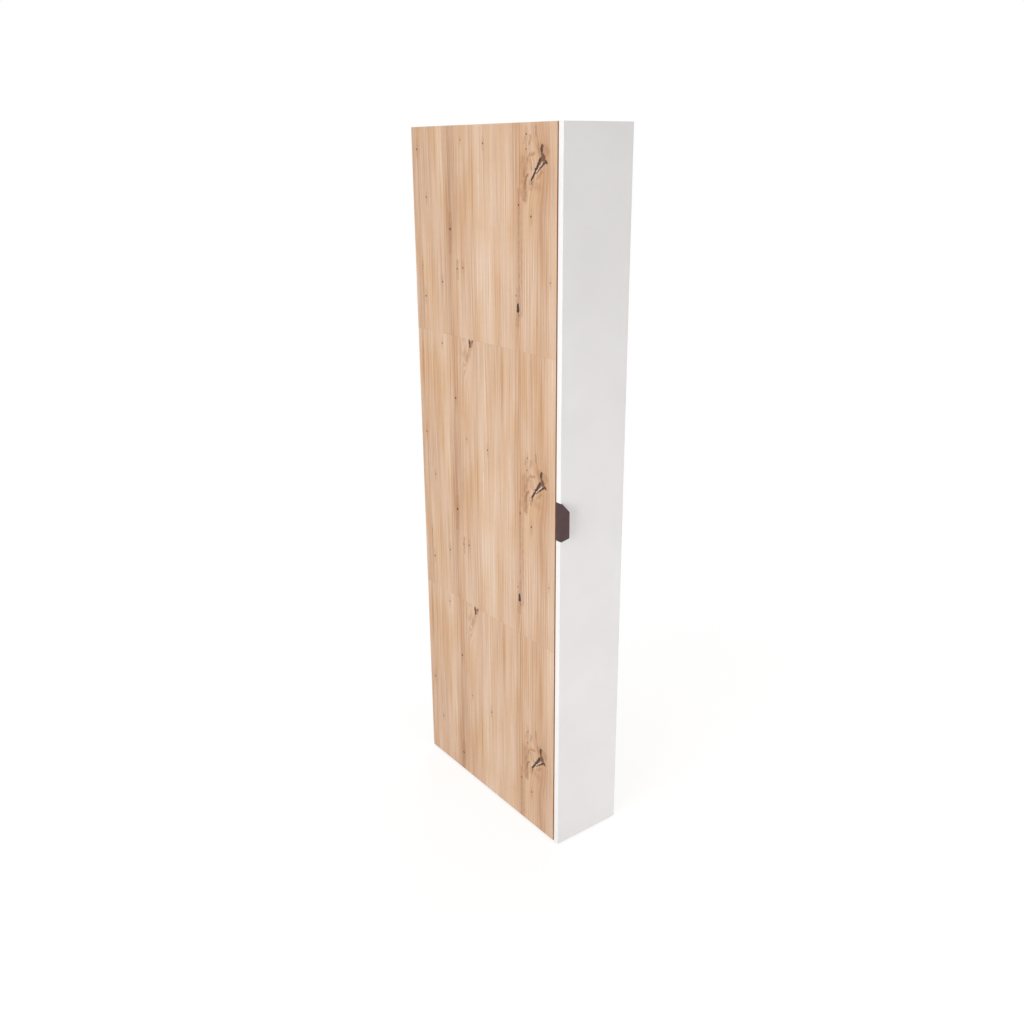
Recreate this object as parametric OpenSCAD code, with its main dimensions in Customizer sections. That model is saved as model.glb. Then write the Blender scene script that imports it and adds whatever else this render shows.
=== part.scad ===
// Narrow laundry cabinet: a tall, deep, slim cupboard with one hinged door.
// Millimetres. Z is up, the door faces -Y, and the floor is at z = 0.
// The origin is the middle of the outline on the floor, handle included.

/* [Overall] */
// Width over both side panels
cabinet_width = 200; // [150:5:300]
// Depth from the door's face to the back
cabinet_depth = 600; // [350:10:750]
// Height from the floor to the top
cabinet_height = 1800; // [1200:10:2200]

/* [Boards] */
// Thickness of the carcass boards
board = 16; // [15:0.5:22]
// Thickness of the back panel
back_board = 3; // [2.5:0.1:6]
// Width of the step in the side panels that takes the back panel
rebate = 8; // [5:0.5:10]
// Free space round the back panel
back_play = 0.5; // [0.2:0.1:1]
// Thickness of the edge strips
strip = 0.8; // [0.4:0.1:2]
// How far the fixed middle shelf stands back from the side panels' edge
middle_setback = 3; // [2.5:0.5:30]

/* [Door] */
// Thickness of the door
door_board = 16; // [15.5:0.5:22]
// Gap between the door's back and the side panels' edge
door_gap = 4; // [3.6:0.1:5]
// Thickness of the door's edge strips
door_strip = 1; // [0.4:0.1:2]
// Diameter of the bumper dots
bumper_d = 10; // [6:1:12]
// Free space between a bumper dot and the side panel when the door is shut
bumper_gap = 0.1; // [0.05:0.05:0.5]
// Distance of a bumper dot from the door's top or bottom edge
bumper_inset = 25; // [15:1:60]

/* [Handle] */
// Height of the handle's middle above the floor
handle_z = 910; // [600:1:1100]
// Length of the handle along the door's edge
handle_height = 96; // [60:0.5:160]
// Thickness of the handle's sheet
handle_sheet = 2; // [1.2:0.1:2.5]
// Length of the lip in front of the door
lip_length = 24.5; // [15:0.5:40]
// Angle by which the lip leans inwards
lip_cant = 15; // [0:1:40]
// Height lost at each corner of the lip
lip_chamfer = 15; // [6:0.2:25]
// Length of the lip before its corners are cut
lip_straight = 3; // [1:0.5:10]
// Radius at the lip's two outer corners
lip_round = 2.5; // [1:0.5:4]
// Length of the leg behind the door
back_leg = 34; // [30:1:50]
// Spacing of the two handle screws
handle_pitch = 64; // [48:1:96]

/* [Shelves] */
// Free space beside each loose shelf
shelf_play = 0.75; // [0.3:0.05:2]
// How far the loose shelves stand back from the side panels' edge
shelf_setback = 22; // [10:1:60]
// Free space behind the loose shelves
shelf_rear_gap = 5; // [2:1:20]
// Diameter of the shelf pins
pin_d = 5; // [4:0.5:6]
// Length of a shelf pin inside the side panel
pin_in = 9; // [6:0.5:11]
// Length of a shelf pin under the shelf
pin_out = 8; // [5:0.5:12]
// Distance of each row of pin holes from the side panels' front and back
pin_row = 52; // [45:1:90]
// Spacing of the pin holes
pin_pitch = 32; // [24:1:40]

/* [Corner joints] */
// Distance of the cam fittings from the panels' front and back
cam_row = 66; // [60:1:110]
// Distance of the dowels from the cam fittings
dowel_step = 32; // [24:1:48]
// Diameter of a cam housing
cam_d = 15; // [12:0.5:16]
// Height of a cam housing above its bolt's middle
cam_cap = 4.4; // [3.5:0.1:5]
// Distance of a cam's middle from the side panel
cam_reach = 24; // [20:1:34]
// Diameter of a cam bolt's shank
bolt_d = 6; // [5:0.5:6.5]
// Free space round a cam bolt's shank
bolt_play = 0.8; // [0.3:0.1:1]
// Diameter of a cam bolt's thread
thread_d = 5; // [4:0.5:6]
// Length of a cam bolt's thread
thread_len = 11; // [8:0.5:12]
// Diameter of a dowel
dowel_d = 8; // [6:0.5:9]
// Length of a dowel
dowel_len = 30; // [24:1:36]
// Length of a dowel inside the side panel
dowel_in = 12; // [8:0.5:12.5]

/* [Screws] */
// Diameter of the small screws' shanks
screw_d = 3.5; // [3:0.1:4]
// Diameter of the small screws' heads
screw_head_d = 7; // [6:0.1:7.5]
// Height of the small screws' heads
screw_head_h = 1.6; // [1.2:0.1:2]
// Length of a screw inside the board
screw_bite = 10; // [7:0.5:11]
// Diameter of the back panel's screws
back_screw_d = 3; // [2:0.1:3.5]
// Number of screws along each side of the back panel
back_screw_n = 7; // [4:1:12]
// Distance of the end screws from the back panel's corners
back_screw_end = 40; // [20:1:80]

/* [Feet] */
// Height of a floor glide
glide_h = 4; // [3.5:0.5:10]
// Diameter of a floor glide
glide_d = 24; // [18:1:30]
// Distance of a glide's middle from the side panel's inner face
glide_in = 22; // [16:1:30]
// Distance of a glide's middle from the panels' front and back
glide_row = 30; // [22:1:40]

/* [Wall bracket] */
// Width of the bracket
bracket_w = 30; // [24:1:50]
// Length of each of the bracket's legs
bracket_leg = 40; // [30:1:60]
// Thickness of the bracket
bracket_t = 2; // [1.5:0.1:3]
// Diameter of the hole for the wall screw
wall_hole = 6; // [4:0.5:8]
// Free space round the wall screw in the back panel
wall_hole_play = 2; // [1:0.5:4]

/* [Hinges] */
// Diameter of a hinge cup
cup_d = 35; // [30:1:35]
// Depth of a hinge cup in the door
cup_depth = 12; // [11:0.1:12.5]
// Wall of a hinge cup
cup_wall = 0.8; // [0.5:0.1:1]
// Distance from the door's edge to the cup
cup_edge = 3; // [2.5:0.1:5]
// Thickness of the cup's flange
flange_t = 1.2; // [0.8:0.1:1.5]
// Distance of the hinge's axis from the door's edge
axis_side = 8.2; // [7:0.1:8.4]
// Distance of the hinge's axis from the door's back
axis_back = 8.5; // [8:0.1:9]
// Radius of the eye at the end of a hinge arm
eye_r = 2.4; // [2.2:0.05:2.5]
// Radius of a hinge pin
hinge_pin_r = 1.3; // [1:0.05:1.4]
// Height of a hinge arm's tongue
tongue_h = 10; // [8:0.5:11]
// Thickness of a hinge arm's tongue
tongue_t = 2; // [1.5:0.1:2.2]
// Distance of the tongue from the side panel
tongue_off = 4.6; // [4.2:0.1:6]
// Thickness of a hinge plate
plate_t = 2.5; // [2:0.1:3]
// Distance of the plate's screws from the side panel's edge
plate_row = 37; // [32:1:45]
// Height of a hinge plate
plate_h = 52; // [46:1:60]
// Spacing of a hinge plate's two screws
plate_pitch = 32; // [28:1:36]
// Diameter of a hinge plate's screws
plate_screw_d = 4; // [3.5:0.1:5]
// Distance of the clamp screw behind the plate's screws
clamp_off = 18; // [14:1:22]
// Spacing of a cup's two screws
cup_pitch = 45; // [42:0.5:48]
// Distance of the cup's screws from the cup's middle
cup_screw_off = 9.5; // [6:0.5:11]
// Height of a hinge arm's channel
arm_h = 14; // [13:0.5:15]
// Depth of a hinge arm's channel
arm_depth = 9; // [8:0.5:12]
// Wall of a hinge arm's channel
arm_wall = 1.5; // [1:0.1:2]
// Distance of the channel from the side panel's edge
arm_start = 16; // [10:1:17]
// Length of a hinge arm's channel
arm_len = 51; // [44:1:60]

/* [Hidden] */
half_w = cabinet_width / 2;
lip_reach = lip_length * cos(lip_cant);
y_face = (lip_reach - cabinet_depth) / 2;
y_door = y_face + door_board;
y_side = y_door + door_gap;
y_core = y_side + strip;
y_rear = y_face + cabinet_depth;
y_back = y_rear - back_board;
x_in = half_w - board;
z_low = glide_h;
z_top = cabinet_height;

// Free space round pins, dowels and threads in their holes, on the radius.
fit = 0.05;
// Free space round a screw in sheet metal or plastic, on the radius.
screw_play = 0.25;
// Free space round a hinge pin in an arm's eye, on the radius.
pin_play = 0.08;
// Free space above and below the handle in the door's edge.
recess_play = 0.2;
// Free space round a hinge cup in the door.
pocket_play = 0.1;
// Holes for screws, bolts and dowels are deeper than what they hold by this much.
deep = 0.5;
// Cut shapes run past the faces that they open by this much.
over = 1;

// The height inside is split by the middle shelf, and each half by two loose shelves.
z_floor = z_low + board;
z_roof = z_top - board;
z_mid = (z_floor + z_roof - board) / 2;
bay = (z_mid - z_floor - 2 * board) / 3;
shelf_z = [
    z_floor + bay,
    z_floor + 2 * bay + board,
    z_mid + board + bay,
    z_mid + 2 * board + 2 * bay
];
// The outer hinges stand off the top and bottom by one share of a compartment's height,
// and the inner ones off the loose shelves by another.
outer_share = 0.32;
inner_share = 0.25;
hinge_z = [
    z_floor + outer_share * bay,
    shelf_z[1] + board + inner_share * bay,
    shelf_z[2] - inner_share * bay,
    z_roof - outer_share * bay
];
joint_z = [z_low + board / 2, z_mid + board / 2, z_top - board / 2];
joint_y = [y_side + cam_row, y_back - cam_row];
dowel_y = [y_side + cam_row + dowel_step, y_back - cam_row - dowel_step];
pin_y = [y_side + pin_row, y_back - pin_row];
// Height of a cam housing, length of a cam bolt's head, length of its neck, diameter of
// the neck as a share of the shank's, and length, width and depth of a cam's slot.
cam_h = board / 2 + cam_cap;
bolt_head = 4.2;
bolt_neck = 6.3;
neck_share = 0.6;
cam_slot = [7, 1.2, 1.8];

// Hinges, all four alike.
x_axis = half_w - axis_side;
y_axis = y_door - axis_back;
x_cup = half_w - cup_edge - cup_d / 2;
cup_screw_x = x_cup - cup_screw_off;
flange_rim = 2;
ear_r = 5.5;
// A pin ends a little short of where its axis meets the inside of the cup's wall.
pin_short = 0.2;
pin_half = sqrt(pow(cup_d / 2 - cup_wall, 2) - pow(x_axis - x_cup, 2)) - pin_short;
tongue_x = x_in - tongue_off - tongue_t;
plate_y = y_side + plate_row;
clamp_y = plate_y + clamp_off;
arm_x = x_in - plate_t - arm_depth;
wing_w = 12;
seat_rim = 1;
plate_head_d = 7.6;

// Handle, glides, bracket and back panel.
handle_screw_end = 8;
handle_screw_x = back_leg - half_w - handle_screw_end;
recess_depth = handle_sheet / cos(lip_cant);
glide_x = x_in - glide_in;
glide_y = [y_side + glide_row, y_back - glide_row];
glide_bevel = 1;
head_sink = 0.4;
glide_seat = screw_head_h + head_sink;
bracket_hole_end = 12;
bracket_screw_y = y_back - bracket_leg + bracket_hole_end;
wall_z = z_roof - bracket_leg + bracket_hole_end;
back_screw_x = x_in + rebate / 2;
back_screw_step = (z_top - z_low - 2 * back_screw_end) / (back_screw_n - 1);
back_screw_z = [for (i = [0:back_screw_n - 1]) z_low + back_screw_end + i * back_screw_step];

oak = [0.83, 0.68, 0.55];
oak_edge = [0.72, 0.56, 0.43];
white = [0.93, 0.93, 0.92];
steel = [0.72, 0.73, 0.75];
zinc = [0.62, 0.63, 0.65];
brown = [0.28, 0.22, 0.21];
beech = [0.80, 0.66, 0.47];
grey_plastic = [0.45, 0.45, 0.46];

// A cross-slot screw along +Z: the head lies below z = 0 and the shank above.
// The slot's length and width are shares of the head's diameter, its depth of the height.
slot_share = [0.6, 0.125, 0.5];
module screw(d, head_d, head_h, reach) {
    slot_l = head_d * slot_share[0];
    slot_w = head_d * slot_share[1];
    difference() {
        union() {
            translate([0, 0, -head_h])
                cylinder(d = head_d, h = head_h, $fn = 32);
            cylinder(d = d, h = reach, $fn = 24);
        }
        for (a = [0, 90])
            rotate([0, 0, a])
                translate([-slot_l / 2, -slot_w / 2, -head_h - over])
                    cube([slot_l, slot_w, over + head_h * slot_share[2]]);
    }
}

// The small screw used for the handle, the hinge cups, the glides and the bracket.
module small_screw(sheet) screw(screw_d, screw_head_d, screw_head_h, sheet + screw_bite);

// A box from its two opposite corners.
module block(a, b) {
    translate(a)
        cube(b - a);
}

// A cylinder along +X that starts at point p.
module rod_x(p, r, len, fn = 32) {
    translate(p)
        rotate([0, 90, 0])
            cylinder(r = r, h = len, $fn = fn);
}

// A cylinder along +Y that starts at point p.
module rod_y(p, r, len, fn = 32) {
    translate(p)
        rotate([-90, 0, 0])
            cylinder(r = r, h = len, $fn = fn);
}

// A cylinder along +Z that starts at point p.
module rod_z(p, r, len, fn = 32) {
    translate(p)
        cylinder(r = r, h = len, $fn = fn);
}

// A blind hole in the inner face of a side panel, s = -1 on the left and 1 on the right.
module side_hole(s, y, z, d, len)
    rod_x([s > 0 ? x_in - over : -x_in - len - deep, y, z], d / 2 + fit, len + deep + over);

// All blind holes of one side panel for bolts, dowels and shelf pins.
module side_holes(s) {
    for (z = joint_z) {
        for (y = joint_y)
            side_hole(s, y, z, thread_d, thread_len);
        for (y = dowel_y)
            side_hole(s, y, z, dowel_d, dowel_in);
    }
    for (z = shelf_z, y = pin_y, k = [-1, 0, 1])
        side_hole(s, y, z - pin_d / 2 + k * pin_pitch, pin_d, pin_in);
}

// Side panel: outer face plain, a step along the inner rear edge for the back panel.
module side_panel(s) {
    difference() {
        block([s > 0 ? x_in : -half_w, y_core, z_low], [s > 0 ? half_w : -x_in, y_rear, z_top]);
        block(
            [s > 0 ? x_in - over : -x_in - rebate, y_back, z_low - over],
            [s > 0 ? x_in + rebate : over - x_in, y_rear + over, z_top + over]
        );
        side_holes(s);
        if (s > 0)
            for (z = hinge_z, k = [-1, 1])
                side_hole(s, plate_y, z + k * plate_pitch / 2, plate_screw_d, screw_bite);
        back_screw_holes([s]);
    }
}

// Holes for the back panel's screws, through it and into the side panels.
module back_screw_holes(sides)
    for (s = sides, z = back_screw_z)
        rod_y(
            [s * back_screw_x, y_back - screw_bite - deep, z],
            back_screw_d / 2 + fit,
            screw_bite + deep + back_board + over,
            24
        );

module left_side_panel() color(oak) side_panel(-1);
module right_side_panel() color(oak) side_panel(1);

// Strips glued on the side panels' front edges.
module left_side_strip() color(oak_edge)
    block([-half_w, y_side, z_low], [-x_in, y_core, z_top]);
module right_side_strip() color(oak_edge)
    block([x_in, y_side, z_low], [half_w, y_core, z_top]);

// Holes in a fixed panel's ends and underside for the cam fittings and dowels.
module cross_holes(z_face) {
    dowel_out = dowel_len - dowel_in + deep;
    for (s = [-1, 1]) {
        for (y = joint_y) {
            rod_x(
                [s > 0 ? x_in - cam_reach : -x_in - over, y, z_face + board / 2],
                bolt_d / 2 + bolt_play,
                cam_reach + over
            );
            rod_z([s * (x_in - cam_reach), y, z_face - over], cam_d / 2 + fit, cam_h + over + fit, 48);
        }
        for (y = dowel_y)
            rod_x(
                [s > 0 ? x_in - dowel_out : -x_in - over, y, z_face + board / 2],
                dowel_d / 2 + fit,
                dowel_out + over
            );
    }
}

// A panel fixed between the side panels, with its front at y0 and its underside at z.
module cross_panel(y0, z) {
    difference() {
        block([-x_in, y0, z], [x_in, y_back, z + board]);
        cross_holes(z);
    }
}

module top_panel() color(oak)
    difference() {
        cross_panel(y_core, z_roof);
        for (s = [-1, 1])
            rod_z(
                [s * bracket_w / 4, bracket_screw_y, z_roof - over],
                screw_d / 2 + fit,
                over + screw_bite + deep,
                24
            );
    }
module top_panel_strip() color(oak_edge)
    block([-x_in, y_side, z_roof], [x_in, y_core, z_top]);

module bottom_panel() color(oak)
    difference() {
        cross_panel(y_core, z_low);
        for (s = [-1, 1], y = glide_y)
            rod_z([s * glide_x, y, z_low - over], screw_d / 2 + fit, over + screw_bite + deep, 24);
    }
module bottom_panel_strip() color(oak_edge)
    block([-x_in, y_side, z_low], [x_in, y_core, z_floor]);

module middle_shelf() color(oak)
    cross_panel(y_core + middle_setback, z_mid);
module middle_shelf_strip() color(oak_edge)
    block([-x_in, y_side + middle_setback, z_mid], [x_in, y_core + middle_setback, z_mid + board]);

// Thin back panel in the side panels' steps, with a hole behind the wall bracket.
module back_panel() color(white)
    difference() {
        block(
            [back_play - x_in - rebate, y_back, z_low + back_play],
            [x_in + rebate - back_play, y_rear, z_top - back_play]
        );
        rod_y([0, y_back - over, wall_z], wall_hole / 2 + wall_hole_play, back_board + 2 * over, 48);
        back_screw_holes([-1, 1]);
    }

// Small screws that hold the back panel, heads let in flush.
module back_panel_screws() color(steel)
    for (s = [-1, 1], z = back_screw_z)
        rod_y([s * back_screw_x, y_back - screw_bite, z], back_screw_d / 2, screw_bite + back_board, 24);

// Loose shelf that rests on four pins, with a strip on its front edge.
module loose_shelf(i) color(oak)
    block(
        [shelf_play - x_in, y_core + shelf_setback, shelf_z[i]],
        [x_in - shelf_play, y_back - shelf_rear_gap, shelf_z[i] + board]
    );
module loose_strip(i) color(oak_edge)
    block(
        [shelf_play - x_in, y_side + shelf_setback, shelf_z[i]],
        [x_in - shelf_play, y_core + shelf_setback, shelf_z[i] + board]
    );

// Pins in the side panels under the loose shelves.
module shelf_pins() color(steel)
    for (z = shelf_z, y = pin_y, s = [-1, 1])
        rod_x([s > 0 ? x_in - pin_out : -x_in - pin_in, y, z - pin_d / 2], pin_d / 2, pin_in + pin_out, 24);

// Cam housings, open towards the bolt, with a crossed slot for the driver.
module cam_housings() color(zinc)
    for (z = joint_z, y = joint_y, s = [-1, 1])
        translate([s * (x_in - cam_reach), y, z - board / 2])
            difference() {
                cylinder(d = cam_d, h = cam_h, $fn = 48);
                rod_x(
                    [s > 0 ? -bolt_head : -cam_d, 0, board / 2],
                    bolt_d / 2 + bolt_play,
                    cam_d + bolt_head
                );
                for (a = [0, 90])
                    rotate([0, 0, a])
                        translate([-cam_slot[0] / 2, -cam_slot[1] / 2, -over])
                            cube([cam_slot[0], cam_slot[1], over + cam_slot[2]]);
            }

// Cam bolts: thread in the side panel, shank through the cross panel, head in the cam.
module cam_bolts() color(steel)
    for (z = joint_z, y = joint_y, s = [-1, 1])
        translate([s * x_in, y, z])
            rotate([0, s > 0 ? -90 : 90, 0]) {
                translate([0, 0, -thread_len])
                    cylinder(d = thread_d, h = thread_len, $fn = 32);
                cylinder(d = bolt_d, h = cam_reach - bolt_neck, $fn = 32);
                cylinder(d = bolt_d * neck_share, h = cam_reach, $fn = 32);
                translate([0, 0, cam_reach - bolt_head / 2])
                    cylinder(d = bolt_d, h = bolt_head, $fn = 32);
            }

// Beech dowels beside the cam fittings.
module dowels() color(beech)
    for (z = joint_z, y = dowel_y, s = [-1, 1])
        rod_x([s > 0 ? x_in + dowel_in - dowel_len : -x_in - dowel_in, y, z], dowel_d / 2, dowel_len);

// Round glides under the bottom panel, each with a sunk screw.
module floor_glide(i) color(grey_plastic)
    translate([(i % 2 == 0 ? -1 : 1) * glide_x, glide_y[floor(i / 2)], 0])
        difference() {
            union() {
                cylinder(d1 = glide_d - 2 * glide_bevel, d2 = glide_d, h = glide_bevel, $fn = 64);
                translate([0, 0, glide_bevel])
                    cylinder(d = glide_d, h = glide_h - glide_bevel, $fn = 64);
            }
            translate([0, 0, -over])
                cylinder(r = screw_d / 2 + screw_play, h = glide_h + 2 * over, $fn = 32);
            translate([0, 0, -over])
                cylinder(r = screw_head_d / 2 + screw_play, h = glide_seat + over, $fn = 32);
        }
module glide_screws() color(steel)
    for (s = [-1, 1], y = glide_y)
        translate([s * glide_x, y, glide_seat])
            small_screw(glide_h - glide_seat);

// Steel angle under the top panel, for a screw into the wall.
module wall_bracket() color(steel)
    difference() {
        union() {
            for (leg = [[bracket_leg, bracket_t], [bracket_t, bracket_leg]])
                block([-bracket_w / 2, y_back - leg[0], z_roof - leg[1]], [bracket_w / 2, y_back, z_roof]);
        }
        rod_y([0, y_back - bracket_t - over, wall_z], wall_hole / 2, bracket_t + 2 * over, 48);
        for (s = [-1, 1])
            rod_z(
                [s * bracket_w / 4, bracket_screw_y, z_roof - bracket_t - over],
                screw_d / 2 + screw_play,
                bracket_t + 2 * over
            );
    }
module wall_bracket_screws() color(steel)
    for (s = [-1, 1])
        translate([s * bracket_w / 4, bracket_screw_y, z_roof - bracket_t])
            small_screw(bracket_t);

// Hinge plate on the right side panel: a wing with two screws and a seat for the arm.
module hinge_plate(i) color(steel)
    translate([x_in - plate_t, 0, hinge_z[i]])
        difference() {
            union() {
                block(
                    [0, plate_y - wing_w / 2, -plate_h / 2],
                    [plate_t, plate_y + wing_w / 2, plate_h / 2]
                );
                block(
                    [0, y_side + arm_start, -arm_h / 2 - seat_rim],
                    [plate_t, y_side + arm_start + arm_len + seat_rim, arm_h / 2 + seat_rim]
                );
            }
            for (k = [-1, 1])
                rod_x(
                    [-over, plate_y, k * plate_pitch / 2],
                    plate_screw_d / 2 + screw_play,
                    plate_t + 2 * over
                );
            rod_x([-over, clamp_y, 0], plate_screw_d / 2 + fit, plate_t + 2 * over);
        }
module hinge_plate_screws() color(steel)
    for (z = hinge_z, k = [-1, 1])
        translate([x_in - plate_t, plate_y, z + k * plate_pitch / 2])
            rotate([0, 90, 0])
                screw(plate_screw_d, plate_head_d, screw_head_h, plate_t + screw_bite);

// Hinge arm: a channel on the plate, a tongue past the side panel's edge and into
// the cup, and an eye round the hinge pin.
module hinge_arm(i) color(steel)
    translate([0, 0, hinge_z[i]])
        difference() {
            union() {
                difference() {
                    block(
                        [arm_x, y_side + arm_start, -arm_h / 2],
                        [x_in - plate_t, y_side + arm_start + arm_len, arm_h / 2]
                    );
                    block(
                        [arm_x + arm_wall, y_side + arm_start + arm_wall, arm_wall - arm_h / 2],
                        [x_in, y_side + arm_start + arm_len - arm_wall, arm_h / 2 - arm_wall]
                    );
                }
                block(
                    [tongue_x, y_axis - tongue_t, -tongue_h / 2],
                    [tongue_x + tongue_t, y_side + arm_start + arm_wall / 2, tongue_h / 2]
                );
                block([tongue_x, y_axis - tongue_t, -tongue_h / 2], [x_axis, y_axis, tongue_h / 2]);
                rod_z([x_axis, y_axis, -tongue_h / 2], eye_r, tongue_h, 48);
            }
            rod_z([x_axis, y_axis, -tongue_h / 2 - over], hinge_pin_r + pin_play, tongue_h + 2 * over, 48);
            for (y = [clamp_y, plate_y - wing_w / 2])
                rod_x([arm_x - over, y, 0], plate_screw_d / 2 + screw_play, arm_wall + 2 * over);
        }

// Clamp screws that pull the arms onto their plates.
module hinge_clamp_screws() color(zinc)
    for (z = hinge_z)
        translate([arm_x, clamp_y, z])
            rotate([0, 90, 0])
                screw(plate_screw_d, plate_head_d, screw_head_h, arm_depth + plate_t);

// Space let into the door's left edge for the handle.
module handle_recess()
    block(
        [-half_w - over, y_face - over, handle_z - handle_height / 2 - recess_play],
        [recess_depth - half_w, y_door + over, handle_z + handle_height / 2 + recess_play]
    );

// A blind hole in the door's back for a small screw.
module door_hole(x, z)
    rod_y([x, y_door - screw_bite - deep, z], screw_d / 2 + fit, screw_bite + deep + over, 24);

// White door over the whole front, bored for the hinge cups.
module door_panel() color(white)
    difference() {
        block(
            [door_strip - half_w, y_face, z_low + door_strip],
            [half_w - door_strip, y_door, z_top - door_strip]
        );
        handle_recess();
        for (z = hinge_z) {
            rod_y(
                [x_cup, y_door - cup_depth - pocket_play, z],
                cup_d / 2 + pocket_play,
                cup_depth + over,
                64
            );
            for (k = [-1, 1])
                door_hole(cup_screw_x, z + k * cup_pitch / 2);
        }
        for (k = [-1, 1])
            door_hole(handle_screw_x, handle_z + k * handle_pitch / 2);
    }
module door_strip_left() color(white)
    difference() {
        block([-half_w, y_face, z_low], [door_strip - half_w, y_door, z_top]);
        handle_recess();
    }
module door_strip_right() color(white)
    block([half_w - door_strip, y_face, z_low], [half_w, y_door, z_top]);
module door_strip_top() color(white)
    block([door_strip - half_w, y_face, z_top - door_strip], [half_w - door_strip, y_door, z_top]);
module door_strip_bottom() color(white)
    block([door_strip - half_w, y_face, z_low], [half_w - door_strip, y_door, z_low + door_strip]);

// Hinge cup: a thin bowl in the door with a flange and two ears for its screws.
module hinge_cup(i) color(steel)
    translate([0, 0, hinge_z[i]])
        difference() {
            union() {
                rod_y([x_cup, y_door - cup_depth, 0], cup_d / 2, cup_depth + flange_t, 64);
                intersection() {
                    rod_y([x_cup, y_door, 0], cup_d / 2 + flange_rim, flange_t, 64);
                    block([x_cup - cup_d, y_door - over, -cup_d], [half_w - cup_edge, y_side, cup_d]);
                }
                for (k = [-1, 1])
                    rod_y([cup_screw_x, y_door, k * cup_pitch / 2], ear_r, flange_t);
                block(
                    [cup_screw_x - ear_r, y_door, -cup_pitch / 2],
                    [cup_screw_x + ear_r, y_door + flange_t, cup_pitch / 2]
                );
            }
            rod_y(
                [x_cup, y_door - cup_depth + cup_wall, 0],
                cup_d / 2 - cup_wall,
                cup_depth + flange_t + over,
                64
            );
            rod_z([x_axis, y_axis, -cup_d / 2], hinge_pin_r + fit, cup_d);
            for (k = [-1, 1])
                rod_y(
                    [cup_screw_x, y_door - over, k * cup_pitch / 2],
                    screw_d / 2 + screw_play,
                    flange_t + 2 * over
                );
        }

// Pins across the cups, on which the arms' eyes turn.
module hinge_pins() color(zinc)
    for (z = hinge_z)
        rod_z([x_axis, y_axis, z - pin_half], hinge_pin_r, 2 * pin_half);
module hinge_cup_screws() color(steel)
    for (z = hinge_z, k = [-1, 1])
        translate([cup_screw_x, y_door + flange_t, z + k * cup_pitch / 2])
            rotate([90, 0, 0])
                small_screw(flange_t);

// Bent handle: a leg screwed behind the door, a part let into the door's edge, and
// a lip with cut corners in front. The corners' rounding starts this share of its radius
// further in than the cut.
round_share = 0.6;
module lip_outline()
    hull() {
        translate([0, -handle_height / 2])
            square([lip_straight, handle_height]);
        for (k = [-1, 1])
            translate([
                lip_length - lip_round,
                k * (handle_height / 2 - lip_chamfer - round_share * lip_round)
            ])
                circle(r = lip_round, $fn = 32);
    }
module door_handle() color(brown)
    difference() {
        union() {
            block(
                [-half_w, y_face, handle_z - handle_height / 2],
                [handle_sheet - half_w, y_door + handle_sheet, handle_z + handle_height / 2]
            );
            block(
                [-half_w, y_door, handle_z - handle_height / 2],
                [back_leg - half_w, y_door + handle_sheet, handle_z + handle_height / 2]
            );
            translate([-half_w, y_face, handle_z])
                rotate([0, 0, lip_cant - 90])
                    rotate([90, 0, 0])
                        translate([0, 0, -handle_sheet])
                            linear_extrude(height = handle_sheet)
                                lip_outline();
        }
        for (k = [-1, 1])
            rod_y(
                [handle_screw_x, y_door - over, handle_z + k * handle_pitch / 2],
                screw_d / 2 + screw_play,
                handle_sheet + 2 * over
            );
    }
module handle_screws() color(steel)
    for (k = [-1, 1])
        translate([handle_screw_x, y_door + handle_sheet, handle_z + k * handle_pitch / 2])
            rotate([90, 0, 0])
                small_screw(handle_sheet);

// Soft dots on the door's back that meet the left side panel's edge.
module door_bumpers() color([0.92, 0.92, 0.92])
    for (z = [z_low + bumper_inset, z_top - bumper_inset])
        rod_y([-half_w + board / 2, y_door, z], bumper_d / 2, door_gap - bumper_gap, 32);

left_side_panel();
right_side_panel();
left_side_strip();
right_side_strip();
top_panel();
top_panel_strip();
bottom_panel();
bottom_panel_strip();
middle_shelf();
middle_shelf_strip();
back_panel();
loose_shelf(0);  // loose_shelf_1
loose_shelf(1);  // loose_shelf_2
loose_shelf(2);  // loose_shelf_3
loose_shelf(3);  // loose_shelf_4
loose_strip(0);  // loose_shelf_strip_1
loose_strip(1);  // loose_shelf_strip_2
loose_strip(2);  // loose_shelf_strip_3
loose_strip(3);  // loose_shelf_strip_4
shelf_pins();
cam_housings();
cam_bolts();
dowels();
floor_glide(0);  // floor_glide_1
floor_glide(1);  // floor_glide_2
floor_glide(2);  // floor_glide_3
floor_glide(3);  // floor_glide_4
glide_screws();
back_panel_screws();
wall_bracket();
wall_bracket_screws();
hinge_plate(0);  // hinge_plate_1
hinge_plate(1);  // hinge_plate_2
hinge_plate(2);  // hinge_plate_3
hinge_plate(3);  // hinge_plate_4
hinge_arm(0);  // hinge_arm_1
hinge_arm(1);  // hinge_arm_2
hinge_arm(2);  // hinge_arm_3
hinge_arm(3);  // hinge_arm_4
hinge_plate_screws();
hinge_clamp_screws();
door_panel();
door_strip_left();
door_strip_right();
door_strip_top();
door_strip_bottom();
hinge_cup(0);  // hinge_cup_1
hinge_cup(1);  // hinge_cup_2
hinge_cup(2);  // hinge_cup_3
hinge_cup(3);  // hinge_cup_4
hinge_pins();
hinge_cup_screws();
door_handle();
handle_screws();
door_bumpers();
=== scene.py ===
# Narrow laundry cabinet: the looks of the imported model, piece by piece in the order in
# which it is put together. Lengths are metres, or millimetres where a name says so.
import math

import bmesh
import bpy
from mathutils import Matrix, Vector


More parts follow.
